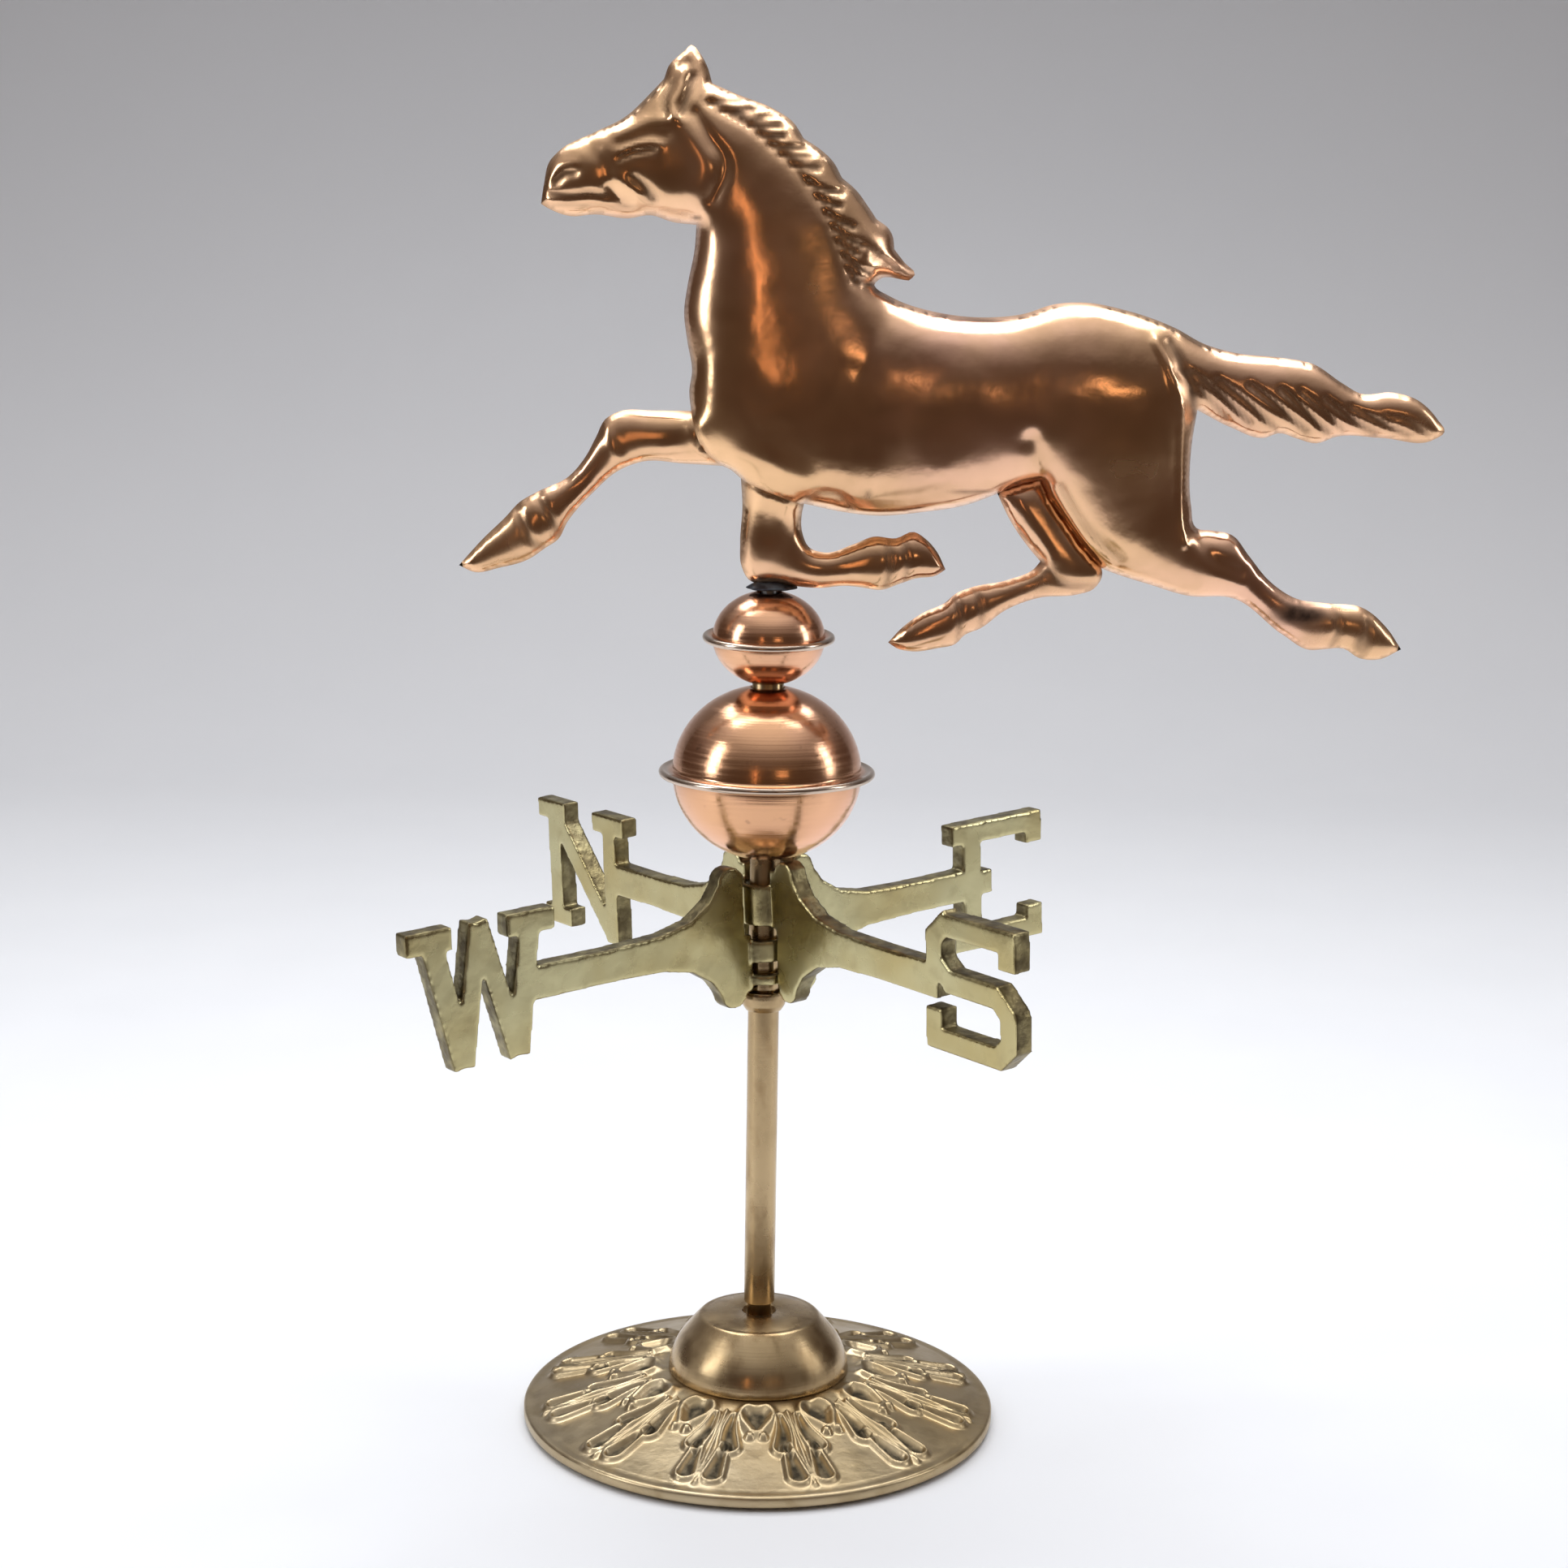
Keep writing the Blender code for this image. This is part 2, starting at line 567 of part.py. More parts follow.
def ring_cutter(name, bottom, top, radius, collection):
    return turned(name, disc_profile(radius, bottom, top), 28, collection)


def tidy_casting(mesh):
    """Weld the joined strokes and flatten away edges that lie inside one face."""
    bm = bmesh.new()
    bm.from_mesh(mesh)
    bmesh.ops.remove_doubles(bm, verts=bm.verts, dist=2e-6)
    bmesh.ops.dissolve_limit(bm, angle_limit=math.radians(1.0), verts=bm.verts,
                             edges=bm.edges)
    bmesh.ops.triangulate(bm, faces=bm.faces)
    bm.to_mesh(mesh)
    bm.free()


def build_directionals(collection, cutters, materials):
    brass = materials["cast_brass"]
    low = (-24.0 * MM, 0.2 * MM)
    high = (0.4 * MM, 24.5 * MM)
    we_straps = [(-24.0 * MM, -21.6 * MM, 1), (-21.2 * MM, -16.8 * MM, -1),
                 (-16.4 * MM, -12.0 * MM, 1), (-11.6 * MM, -2.6 * MM, -1)]
    ns_straps = [(1.4 * MM, 12.0 * MM, 1), (12.4 * MM, 18.0 * MM, 1),
                 (18.4 * MM, 24.5 * MM, -1)]
    # The north-south plate's first letter is N, so its +Y side faces west.
    build_casting("directional_we", "WE", WEST_HEADING, 0.0, low,
                  [(b, t, -s) for b, t, s in we_straps], collection, cutters, brass)
    build_casting("directional_ns", "NS", NORTH_HEADING, NORTH_SOUTH_LIFT, high,
                  ns_straps, collection, cutters, brass)


# Horse

def smooth_outline(marked, closed):
    """Points in metres along a line that is smooth except at its marked corners."""
    anchors = [Vector(item[:2]) * MM for item in marked]
    corners = [len(item) == 3 for item in marked]
    count = len(anchors)
    spans = count if closed else count - 1
    points = []
    for index in range(spans):
        start = anchors[index]
        end = anchors[(index + 1) % count]
        chord = end - start
        start_turn = chord
        end_turn = chord
        if not corners[index] and (closed or index > 0):
            start_turn = spline_slope(anchors[index - 1], start, end)
        if not corners[(index + 1) % count] and (closed or index < spans - 1):
            end_turn = spline_slope(start, end, anchors[(index + 2) % count])
        steps = max(1, round(chord.length / OUTLINE_STEP))
        for step in range(steps):
            points.append(hermite(start, end, start_turn, end_turn, chord.length,
                                  step / steps))
    if not closed:
        points.append(anchors[-1])
    return points


def spline_slope(before, point, after):
    """Unit slope at a smooth point, weighted towards the nearer neighbour."""
    first = point - before
    second = after - point
    slope = first.normalized() * second.length + second.normalized() * first.length
    return slope.normalized()


def hermite(start, end, start_turn, end_turn, length, t):
    first = start_turn.normalized() * length
    second = end_turn.normalized() * length
    return (start * (2 * t ** 3 - 3 * t ** 2 + 1) + first * (t ** 3 - 2 * t ** 2 + t)
            + end * (-2 * t ** 3 + 3 * t ** 2) + second * (t ** 3 - t ** 2))


def polygon_distance(point, polygon):
    """Distance from a point to the outline, negative when the point is outside."""
    nearest = math.inf
    inside = False
    for index, end in enumerate(polygon):
        start = polygon[index - 1]
        edge = end - start
        along = max(0.0, min(1.0, (point - start).dot(edge) / edge.length_squared))
        nearest = min(nearest, (start + edge * along - point).length)
        crosses = (start.y > point.y) != (end.y > point.y)
        if crosses and point.x < start.x + edge.x * (point.y - start.y) / edge.y:
            inside = not inside
    return nearest if inside else -nearest


def hex_grid(polygon, spacing, margin):
    """Evenly spread points that lie inside the outline, at least margin from it."""
    low_x = min(p.x for p in polygon)
    high_x = max(p.x for p in polygon)
    low_y = min(p.y for p in polygon)
    high_y = max(p.y for p in polygon)
    points = []
    row_height = spacing * math.sqrt(3) / 2
    row = 0
    y = low_y
    while y < high_y:
        x = low_x + (spacing / 2 if row % 2 else 0.0)
        while x < high_x:
            if polygon_distance(Vector((x, y)), polygon) > margin:
                points.append(Vector((x, y)))
            x += spacing
        y += row_height
        row += 1
    return points


def triangulate_pieces(loops):
    """Triangulate touching outlines as one sheet.

    Returns the points, and for each outline its triangles. Any edge that would run straight
    across from outline to outline gets a middle point, so the form can rise there.
    """
    points = []
    faces = []
    for loop in loops:
        face = []
        for point in loop:
            twins = [index for index, other in enumerate(points)
                     if (other - point).length < 0.01 * MM]
            if not twins:
                twins = [len(points)]
                points.append(point)
            face.append(twins[0])
        faces.append(face)
    rim_count = len(points)
    rim_edges = set()
    for face in faces:
        for index, item in enumerate(face):
            rim_edges.add(frozenset((face[index - 1], item)))
    extra = []
    for loop in loops:
        extra += hex_grid(loop, GRID_STEP, 0.55 * GRID_STEP)
    anticlockwise = [face[::-1] for face in faces]
    for attempt in range(4):
        result = delaunay_2d_cdt(points + extra, [], anticlockwise, 1, 1e-9)
        sheet, triangles = result[0], result[2]
        crossings = set()
        for triangle in triangles:
            for index, item in enumerate(triangle):
                pair = frozenset((triangle[index - 1], item))
                if max(pair) < rim_count and pair not in rim_edges:
                    crossings.add(pair)
        if not crossings:
            break
        for pair in sorted(crossings, key=sorted):
            first, second = sorted(pair)
            extra.append((sheet[first] + sheet[second]) / 2)
    groups = [[] for loop in loops]
    for triangle in triangles:
        middle = (sheet[triangle[0]] + sheet[triangle[1]] + sheet[triangle[2]]) / 3
        for group, loop in zip(groups, loops):
            if polygon_distance(middle, loop) > 0.0:
                group.append(tuple(triangle))
                break
    return sheet, groups, faces


def swelling(sheet, triangles, pinned):
    """Solve for a smooth height that is zero on the pinned points and domes between them."""
    count = len(sheet)
    stiffness = np.zeros((count, count))
    load = np.zeros(count)
    for triangle in triangles:
        corners = [sheet[index] for index in triangle]
        edges = [corners[2] - corners[1], corners[0] - corners[2], corners[1] - corners[0]]
        area = abs(edges[0].x * edges[1].y - edges[0].y * edges[1].x) / 2
        for row in range(3):
            load[triangle[row]] += area / 3
            for column in range(3):
                term = edges[row].dot(edges[column]) / (4 * area)
                stiffness[triangle[row], triangle[column]] += term
    used = {index for triangle in triangles for index in triangle}
    free = sorted(used - pinned)
    heights = np.zeros(count)
    solved = np.linalg.solve(stiffness[np.ix_(free, free)], load[free])
    heights[free] = np.sqrt(np.maximum(solved, 0.0))
    return heights


def girth(height):
    """Half thickness of the horse: full in small limbs, flattened in the broad trunk."""
    return GIRTH_LIMIT * math.tanh(GIRTH_GROWTH * height / GIRTH_LIMIT)


def inset_point(previous, point, following, distance):
    """Move an outline point inwards; the outline runs clockwise seen with x right, z up."""
    first = (point - previous).normalized()
    second = (following - point).normalized()
    inward = Vector((first.y, -first.x)) + Vector((second.y, -second.x))
    if inward.length < 1e-6:
        inward = Vector((-first.x, -first.y))
    return point + inward.normalized() * distance


def half_shell(name, sheet, triangles, loop, joint_points, heights, side, collection,
               material):
    """One pressed half: an outer skin, an inner skin, and the edge that joins them."""
    used = sorted({index for triangle in triangles for index in triangle})
    place = {index: number for number, index in enumerate(used)}
    total = len(used)
    outer = []
    inner = []
    ring = {}
    for position, index in enumerate(loop):
        following = loop[(position + 1) % len(loop)]
        ring[index] = (loop[position - 1], following)
    for index in used:
        point = sheet[index]
        rise = girth(heights[index])
        inside = point
        hollow = max(rise - SHELL_WALL, 0.35 * rise)
        if index in ring:
            previous, following = ring[index]
            distance = SHELL_WALL
            if index in joint_points:
                point = inset_point(sheet[previous], point, sheet[following], FIT_GAP / 2)
                distance = FIT_GAP / 2
            if rise < 1e-6:
                distance = SHELL_WALL
                hollow = 0.0
            inside = inset_point(sheet[previous], sheet[index], sheet[following], distance)
        outer.append((point.x, side * (SEAM_HALF_GAP + rise), point.y))
        inner.append((inside.x, side * (SEAM_HALF_GAP + hollow), inside.y))
    faces = []
    for triangle in triangles:
        a, b, c = (place[index] for index in triangle)
        faces.append((a, b, c))
        faces.append((c + total, b + total, a + total))
    for position, index in enumerate(loop):
        here = place[loop[position - 1]]
        there = place[index]
        faces.append((here, there, there + total))
        faces.append((here, there + total, here + total))
    obj = add_object(name, mesh_from(name, outer + inner, faces), collection, material)
    weld_and_face_out(obj.data)
    return obj


def joined_loop(*stretches):
    """Chain marked stretches into one closed loop."""
    marked = []
    for stretch in stretches:
        marked += stretch
    return marked


def build_horse(collection, cutters, materials):
    copper = materials["copper"]
    body = joined_loop(HEAD_AND_MANE, BACK_AND_TAIL, NEAR_HIND_LEG, BELLY, FOLD_JOINT, BREAST,
                       REACH_JOINT, CHEST_AND_JAW)
    reach = REACH_JOINT[::-1] + FORELEG_REACH[::-1]
    fold = FOLD_JOINT[::-1] + FORELEG_FOLD[::-1]
    loops = [smooth_outline(body, True), smooth_outline(reach, True),
             smooth_outline(fold, True)]
    names = ["horse_body", "foreleg_reach", "foreleg_fold"]
    build_shells(names, loops, collection, copper)
    build_shells(["hind_leg"], [smooth_outline(FAR_HIND_LEG, True)], collection, copper)

    socket = turned("spindle_socket", disc_profile(SPINDLE_RADIUS + 0.4 * MM, 340.0 * MM,
                                                   SPINDLE_TOP + 2.0 * MM), 20, cutters)
    as_cutter(socket)
    for side in ("near", "far"):
        add_boolean(bpy.data.objects["foreleg_fold_" + side], socket, "DIFFERENCE")


def build_shells(names, loops, collection, material):
    sheet, groups, faces = triangulate_pieces(loops)
    owners = {}
    for number, face in enumerate(faces):
        for index in face:
            owners.setdefault(index, set()).add(number)
    rim = set(owners)
    joints = {index for index, numbers in owners.items() if len(numbers) > 1}
    open_joints = set(joints)
    for face in faces:
        for position, index in enumerate(face):
            neighbours = {face[position - 1], face[(position + 1) % len(face)]}
            if index in joints and not neighbours <= joints:
                open_joints.discard(index)
    triangles = [triangle for group in groups for triangle in group]
    heights = swelling(sheet, triangles, rim - open_joints)
    for name, group, face in zip(names, groups, faces):
        for side, sign in (("near", -1.0), ("far", 1.0)):
            half_shell(f"{name}_{side}", sheet, group, face, joints, heights, sign,
                       collection, material)


def build_spindle(spindle_bottom, collection, materials):
    spindle = [
        (0.0, spindle_bottom),
        (SPINDLE_RADIUS - 0.5 * MM, spindle_bottom),
        (SPINDLE_RADIUS, spindle_bottom + 0.5 * MM),
        (SPINDLE_RADIUS, SPINDLE_TOP),
        (0.0, SPINDLE_TOP),
    ]
    turned("spindle", spindle, 20, collection, materials["steel"])

    bore = SPINDLE_RADIUS + FIT_GAP
    bottom = SMALL_GLOBE_HEIGHT + SMALL_GLOBE_HALF + 0.45 * MM
    top = KNEE_SOLE - 0.6 * MM
    solder = [(bore, bottom), (8.6 * MM, bottom), (9.2 * MM, bottom + 0.4 * MM),
              (8.4 * MM, top), (bore, top)]
    turned("knee_solder", solder, 24, collection, materials["solder"])


def main():
    clear_scene()
    parts = new_collection("weather_vane")
    cutters = new_collection("cutters")
    materials = {name: make_material(name) for name in MATERIALS}
    build_base(parts, cutters, materials)
    spindle_bottom = build_pole(parts, materials)
    build_collar(parts, cutters, materials)
    build_directionals(parts, cutters, materials)
    build_globe("large_globe", LARGE_GLOBE_HEIGHT, LARGE_GLOBE_RADIUS, LARGE_GLOBE_HALF,
                LARGE_FLANGE_RADIUS, POLE_HOLE_RADIUS, POLE_HOLE_RADIUS, 32, 0.0, parts,
                materials["copper"])
    build_globe("small_globe", SMALL_GLOBE_HEIGHT, SMALL_GLOBE_RADIUS, SMALL_GLOBE_HALF,
                SMALL_FLANGE_RADIUS, TILTED_HOLE_RADIUS, SPINDLE_HOLE_RADIUS, 26,
                SMALL_GLOBE_TILT, parts, materials["copper"])
    build_spindle(spindle_bottom, parts, materials)
    build_horse(parts, cutters, materials)


main()
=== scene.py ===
"""Looks, light and camera for the copper horse weather vane.

World frame: the pole's axis is the Z axis, the table is z = 0, the horse faces -X and its
near side is towards -Y. Lengths are in millimetres, scaled to metres by MM.
"""
import math

import bmesh
import bpy
import numpy as np
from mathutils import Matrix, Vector
from mathutils.geometry import delaunay_2d_cdt


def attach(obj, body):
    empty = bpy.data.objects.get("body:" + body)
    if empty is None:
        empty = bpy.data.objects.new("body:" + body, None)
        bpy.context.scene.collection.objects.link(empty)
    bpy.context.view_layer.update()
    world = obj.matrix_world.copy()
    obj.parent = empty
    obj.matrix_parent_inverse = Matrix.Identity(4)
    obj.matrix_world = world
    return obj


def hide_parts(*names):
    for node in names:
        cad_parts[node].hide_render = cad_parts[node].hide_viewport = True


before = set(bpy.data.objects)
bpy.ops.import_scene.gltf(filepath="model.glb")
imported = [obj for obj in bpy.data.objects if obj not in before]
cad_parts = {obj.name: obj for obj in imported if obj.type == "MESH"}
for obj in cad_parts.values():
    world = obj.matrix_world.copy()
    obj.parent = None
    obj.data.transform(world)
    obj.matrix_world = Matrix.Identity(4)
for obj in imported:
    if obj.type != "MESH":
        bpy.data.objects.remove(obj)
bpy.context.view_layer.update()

MM = 0.001

# Camera and table, in metres; the lens and its sensor are in millimetres
CAMERA_PLACE = (0.0070, -1.1318, 0.4855)
CAMERA_PITCH = math.radians(79.16)
CAMERA_ROLL = math.radians(0.89)
CAMERA_LENS = 65.63
CAMERA_SENSOR = 36.0
TABLE_FRONT = -0.55
TABLE_BACK = 1.35
TABLE_HALF_WIDTH = 2.2
BACKDROP_BEND = 0.6
BACKDROP_TOP = 2.6

# Horse, in millimetres. Relief fades out where the skin stands less than EDGE_ZONE
# from the seam.
OUTLINE_STEP = 1.7
GRID_STEP = 1.55
GIRTH_LIMIT = 31.0
GIRTH_GROWTH = 0.98
EDGE_ZONE = 5.0
MANE_LOCKS = 17
MANE_FIRST_POINT = 14
SOLVER_STEPS = 1500

# Globes, in millimetres. The holes are the lower and the upper one.
GLOBE_WALL = 0.8
GLOBE_STEPS = 144
LARGE_GLOBE = {"centre": 273.5, "radius": 38.1, "half_height": 35.4, "flange": 43.6,
               "tilt": 0.0, "holes": (7.0, 7.0)}
SMALL_GLOBE = {"centre": 328.2, "radius": 22.5, "half_height": 18.9, "flange": 26.5,
               "tilt": math.radians(3.0), "holes": (8.2, 5.2)}

# Directional castings: the grain of their rounded skin, in metres, and how often it is smoothed
CASTING_VOXEL = 0.7 * MM
CASTING_SMOOTHING = 7

# Horse outlines in millimetres, x along the body and z above the table.
# A third value of 1 marks a corner; the line runs smoothly through the other points.
HEAD_AND_MANE = [
    (-90.8, 496.5, 1), (-89.6, 504.5), (-87.6, 512.5), (-83.5, 517.0), (-70, 524),
    (-58.5, 529.8), (-48, 539.6), (-43.4, 544.4, 1), (-41.2, 550), (-37.6, 553.4, 1),
    (-35.2, 555.4), (-33, 557.3), (-30, 554.6), (-27, 549.8), (-24.8, 543, 1),
    (-15.4, 539.2), (0, 533.3), (6.5, 529), (10.8, 522.8, 1), (17.8, 518.4),
    (22.5, 514), (25.8, 508.2, 1), (31, 504), (36.5, 497), (39.4, 492.8, 1),
    (44.6, 488.8), (46.2, 485.5), (46.6, 481.4, 1), (51, 476), (54.9, 471.6),
    (52.6, 469.4, 1), (40.8, 469.4), (39.2, 467.4), (41.4, 465.2, 1),
]
BACK_AND_TAIL = [
    (50.5, 460.9), (63.6, 457.4), (84.5, 455.7), (98, 457.3), (109.5, 461.1),
    (120.3, 462), (138.5, 459), (157, 452.8), (169.4, 446.5), (181.4, 443.4),
    (200.3, 441.7), (211.5, 439.7), (223.8, 432.2), (231, 428.4), (243.7, 429),
    (253.5, 426.2), (262.1, 418.3), (264.8, 414), (261, 411), (240, 411.2),
    (222.3, 411.4), (214.6, 408.7), (207, 410.4), (199.3, 412.4), (194.6, 410.6),
    (180.5, 414.5), (167.2, 421, 1),
]
NEAR_HIND_LEG = [
    (165.6, 408), (165.2, 397), (166.4, 383), (168.8, 374.6), (175, 373.7),
    (183, 372), (190, 364), (198.8, 353.9), (210, 347), (222.6, 345.4),
    (236.1, 343.9), (246.5, 335.7), (252.5, 327.4, 1), (243.8, 323.2), (236, 323.6),
    (229.5, 327.3), (222, 327), (216, 326.6), (204.9, 332.6), (184.6, 346.8),
    (167, 347.5), (150.9, 351.9), (134.4, 357), (130.8, 358.4, 1), (123.8, 365.3),
    (115.2, 377.1), (109.4, 385.1), (105.8, 392.4, 1),
]
BELLY = [(97, 390), (88.5, 386.5), (77.4, 382.3), (60, 379.2), (42, 377.5), (28, 378.9)]
FOLD_JOINT = [(13.2, 381.8, 1), (-11.9, 391.4, 1)]
BREAST = [(-16.1, 394.8)]
REACH_JOINT = [(-19.2, 396.2, 1), (-27, 404), (-31.8, 417.6, 1)]
CHEST_AND_JAW = [
    (-32.6, 425.4), (-31.6, 432.9), (-33.6, 445), (-34.9, 455.9), (-33.4, 467.6),
    (-31.1, 479.6), (-30.4, 489.4, 1), (-39.8, 490.4), (-48, 492.8), (-57, 491.5),
    (-70, 492.8), (-79.3, 492), (-88.2, 495),
]
FORELEG_REACH = [
    (-47, 417.5), (-59.8, 417), (-65.6, 413.8), (-69.1, 407), (-74, 398),
    (-79.9, 391.2), (-92.1, 385), (-99.3, 380.8), (-104.7, 375), (-114.4, 365.5),
    (-123.5, 355.3, 1), (-117.2, 352.6), (-107.9, 354.4), (-95.6, 358.2), (-89, 362.8),
    (-84.1, 366.2), (-80.5, 373), (-69.8, 385.5), (-61, 393.3), (-50.4, 397.5),
    (-34.6, 396.9),
]
FORELEG_FOLD = [
    (-11.2, 381), (-11.9, 366), (-11.2, 356.5), (-8.4, 351.4), (-4, 349.3, 1),
    (9.5, 349.0, 1), (20, 348.4), (30, 349.4), (36, 349), (44.5, 348),
    (51.6, 350.5), (58.1, 352.8), (66.4, 354.2), (69.8, 356.6, 1), (66.2, 363.7),
    (61.3, 368.9), (57, 371.3), (50, 368.7), (41, 369.2), (33.4, 366.2),
    (21.6, 362.6), (15.5, 364.6), (12.9, 369.6), (12.3, 377),
]
FAR_HIND_LEG = [
    (89.3, 387.6, 1), (97.2, 391.3), (107.2, 393.5, 1), (110.6, 386.2), (116.4, 378.2),
    (125.0, 366.4), (131.5, 359.0, 1), (132.2, 356), (128.9, 349.7), (122.6, 347.4),
    (107.1, 345.8), (93.7, 340.4), (84.2, 333.1), (78.1, 330.4), (74.6, 326.8),
    (67.5, 325), (57.3, 323.5), (51, 324.8), (47.7, 327, 1), (52.7, 332.6),
    (61, 338.9), (69.8, 343.1), (74.2, 347), (80.5, 349.6), (95.1, 352.9),
    (105.2, 357.6), (107.4, 360.4, 1), (102.6, 365.8), (94.9, 376.5),
]

# Relief on the horse, in millimetres: a line, the half width of its dent, and its depth.
# A negative depth raises a ridge.
HEAD_LINES = [
    ([(-86.5, 495.8), (-77, 496.6), (-68, 495.4), (-57, 495.6), (-44, 495.2), (-30, 492.4)],
     0.7, 0.5),
    ([(-87, 500.3), (-79, 500.0), (-71, 500.8), (-65, 499.6)], 1.3, 0.9),
    ([(-64, 502.5), (-60, 499.5), (-56.5, 497.5)], 2.6, 1.5),
    ([(-84.5, 504.8), (-81, 507.6), (-77, 508.2)], 1.5, 1.2),
    ([(-86, 507.2), (-82.5, 511), (-77.5, 512)], 1.9, -0.6),
    ([(-54, 506.5), (-50, 503.5), (-46.8, 499.5)], 2.0, 1.2),
    ([(-61, 507.5), (-56, 504.5), (-52.5, 500.5)], 2.0, -0.8),
    ([(-60, 513.8), (-54, 516.3), (-46, 517.4)], 1.0, 1.2),
    ([(-59, 516.2), (-54, 518.6), (-48, 519.6), (-44, 518.6)], 1.4, -0.8),
    ([(-60, 520), (-54, 521.6), (-48, 523.6), (-42, 523.2)], 2.6, 0.9),
    ([(-60.5, 523), (-54, 525.4), (-48, 527.6), (-42, 527.6)], 3.0, -0.8),
    ([(-72, 519), (-66, 513), (-62, 507)], 3.5, 0.7),
    ([(-31, 531), (-25, 521.5), (-20.3, 515), (-19.8, 508.5), (-23.5, 499.5)], 2.6, 1.5),
    ([(-37.5, 529), (-30, 519), (-27, 511), (-30, 503)], 5.5, -1.1),
    ([(-35, 546.5), (-37.2, 539), (-40, 534), (-38.2, 529)], 1.8, -1.4),
    ([(-32, 545), (-34, 537.5), (-35.8, 531)], 1.5, 1.5),
    ([(-40.5, 543), (-42.5, 537), (-42.5, 531.5)], 1.4, 1.0),
    ([(-37.5, 549.5), (-34, 551), (-32.8, 546.5), (-34, 543)], 1.1, 0.9),
]
MANE_EDGE = [(-27, 536), (-18.5, 531), (-10, 526.5), (0.5, 517.5), (10.5, 508), (20, 494),
             (25.5, 481), (30.5, 468.5), (36.5, 466.2)]
TAIL_LINES = [
    ([(156, 437), (166, 430), (178, 418.5)], 1.3, 1.0),
    ([(163, 436), (174, 428.5), (187, 417)], 1.3, 1.1),
    ([(173, 433.5), (185, 425), (197, 415)], 1.2, 1.1),
    ([(186, 431.5), (198, 423), (209.5, 413.8)], 1.3, 1.2),
    ([(198.5, 430), (208, 422), (218, 413.4)], 1.3, 1.2),
    ([(206, 429.5), (214, 423.5), (224, 414.2)], 1.1, 0.9),
    ([(216, 426.5), (226, 419.5), (237, 413)], 1.3, 1.1),
    ([(226, 423.5), (238, 418), (250, 412.6)], 1.1, 0.9),
    ([(240, 420.5), (249, 418.2), (258, 412.8)], 0.9, 0.6),
]
BODY_LINES = [
    ([(148, 448), (152.5, 440), (156, 431), (159.4, 419.5), (160, 409), (160.5, 396),
      (161, 380), (163, 369)], 1.4, -1.3),
    ([(154, 447), (158, 440), (162, 431), (165, 420)], 2.2, 1.5),
    ([(105, 396), (103.5, 403), (101, 409)], 4.0, 1.8),
    ([(13.2, 383.0), (18.5, 387.5), (27, 386.5), (32, 381)], 1.6, 0.8),
    ([(-19, 398), (-10, 400.5), (4, 397), (15, 389.5)], 5.0, -0.8),
    ([(45, 458.5), (39, 448), (34.5, 436)], 5.0, 0.6),
    ([(26, 380), (60, 382.4), (88, 389.6)], 1.3, -0.5),
    ([(110.5, 389.5), (121, 373.5), (134.5, 360.6)], 1.5, -0.9),
    ([(113.8, 391), (124, 376), (138, 363)], 1.7, 0.6),
    ([(167, 377), (174, 364), (186, 358)], 2.8, 0.9),
    ([(224.5, 345.5), (226.0, 336), (223.5, 327)], 1.5, 0.9),
    ([(237.4, 343), (238.2, 334), (236.6, 324)], 1.2, 0.9),
    ([(-27, 404), (-19.2, 396.2)], 0.9, 0.9),
    ([(-31.8, 417.6), (-27, 404)], 0.9, 0.9),
    ([(-11.9, 391.4), (13.2, 381.8)], 0.9, 0.9),
    ([(0, 370), (2, 384)], 3.0, 0.5),
    ([(-66, 417), (-63, 405), (-57.5, 396)], 2.2, -0.7),
    ([(-100, 379), (-95.5, 368), (-90.5, 362.5)], 1.6, 0.9),
    ([(-92.5, 384.5), (-86, 374), (-83.5, 367.5)], 1.6, 0.9),
    ([(46.5, 369.3), (47.5, 359), (46.0, 348.5)], 1.6, 0.9),
    ([(52.5, 368.9), (54.4, 360), (53.5, 351.5)], 1.3, 0.8),
]
HIND_LINES = [
    ([(73.6, 346), (75.5, 339), (75.6, 328)], 1.4, 0.9),
    ([(81.5, 349.5), (84.0, 342), (84.5, 334)], 1.4, 0.8),
    ([(107, 360), (116, 352.5), (129, 351)], 1.8, 0.8),
    ([(97, 386), (108, 370), (113, 362)], 3.0, -0.5),
]
DARK_SPOTS = [((211, 341.5), (11, 4.5), 1.0), ((236, 330), (3.5, 4.5), 0.5),
              ((79, 388.6), (9, 1.2), 0.55), ((38, 387), (1.5, 2.0), 0.5),
              ((0.5, 350), (9, 1.6), 0.9), ((-30, 492.2), (2, 1.0), 0.7),
              ((41, 466), (3, 2.0), 0.8), ((107, 359), (3, 3), 0.7)]


# Leaves on the base, in millimetres. Every repeat has a teardrop in the middle and hollow
# lobes on both sides: centre line (sideways, radius), half width at the root and at the tip
LEAF_REPEATS = 12
LEAF_LOBES = [
    ([(9.2, 49), (10.8, 57), (10.8, 67.5)], 0.5, 2.9),
    ([(12.4, 66), (14.6, 75), (17.0, 84)], 0.5, 3.0),
]
TEARDROP = ([(0.0, 56.5), (0.0, 52.5), (0.0, 48.5)], 0.3, 4.2)
TEARDROP_KNOB = (2.7, 61.0)
LEAF_RIB = (46.0, 92.0)
DISH_STEPS = 840


# Node helper

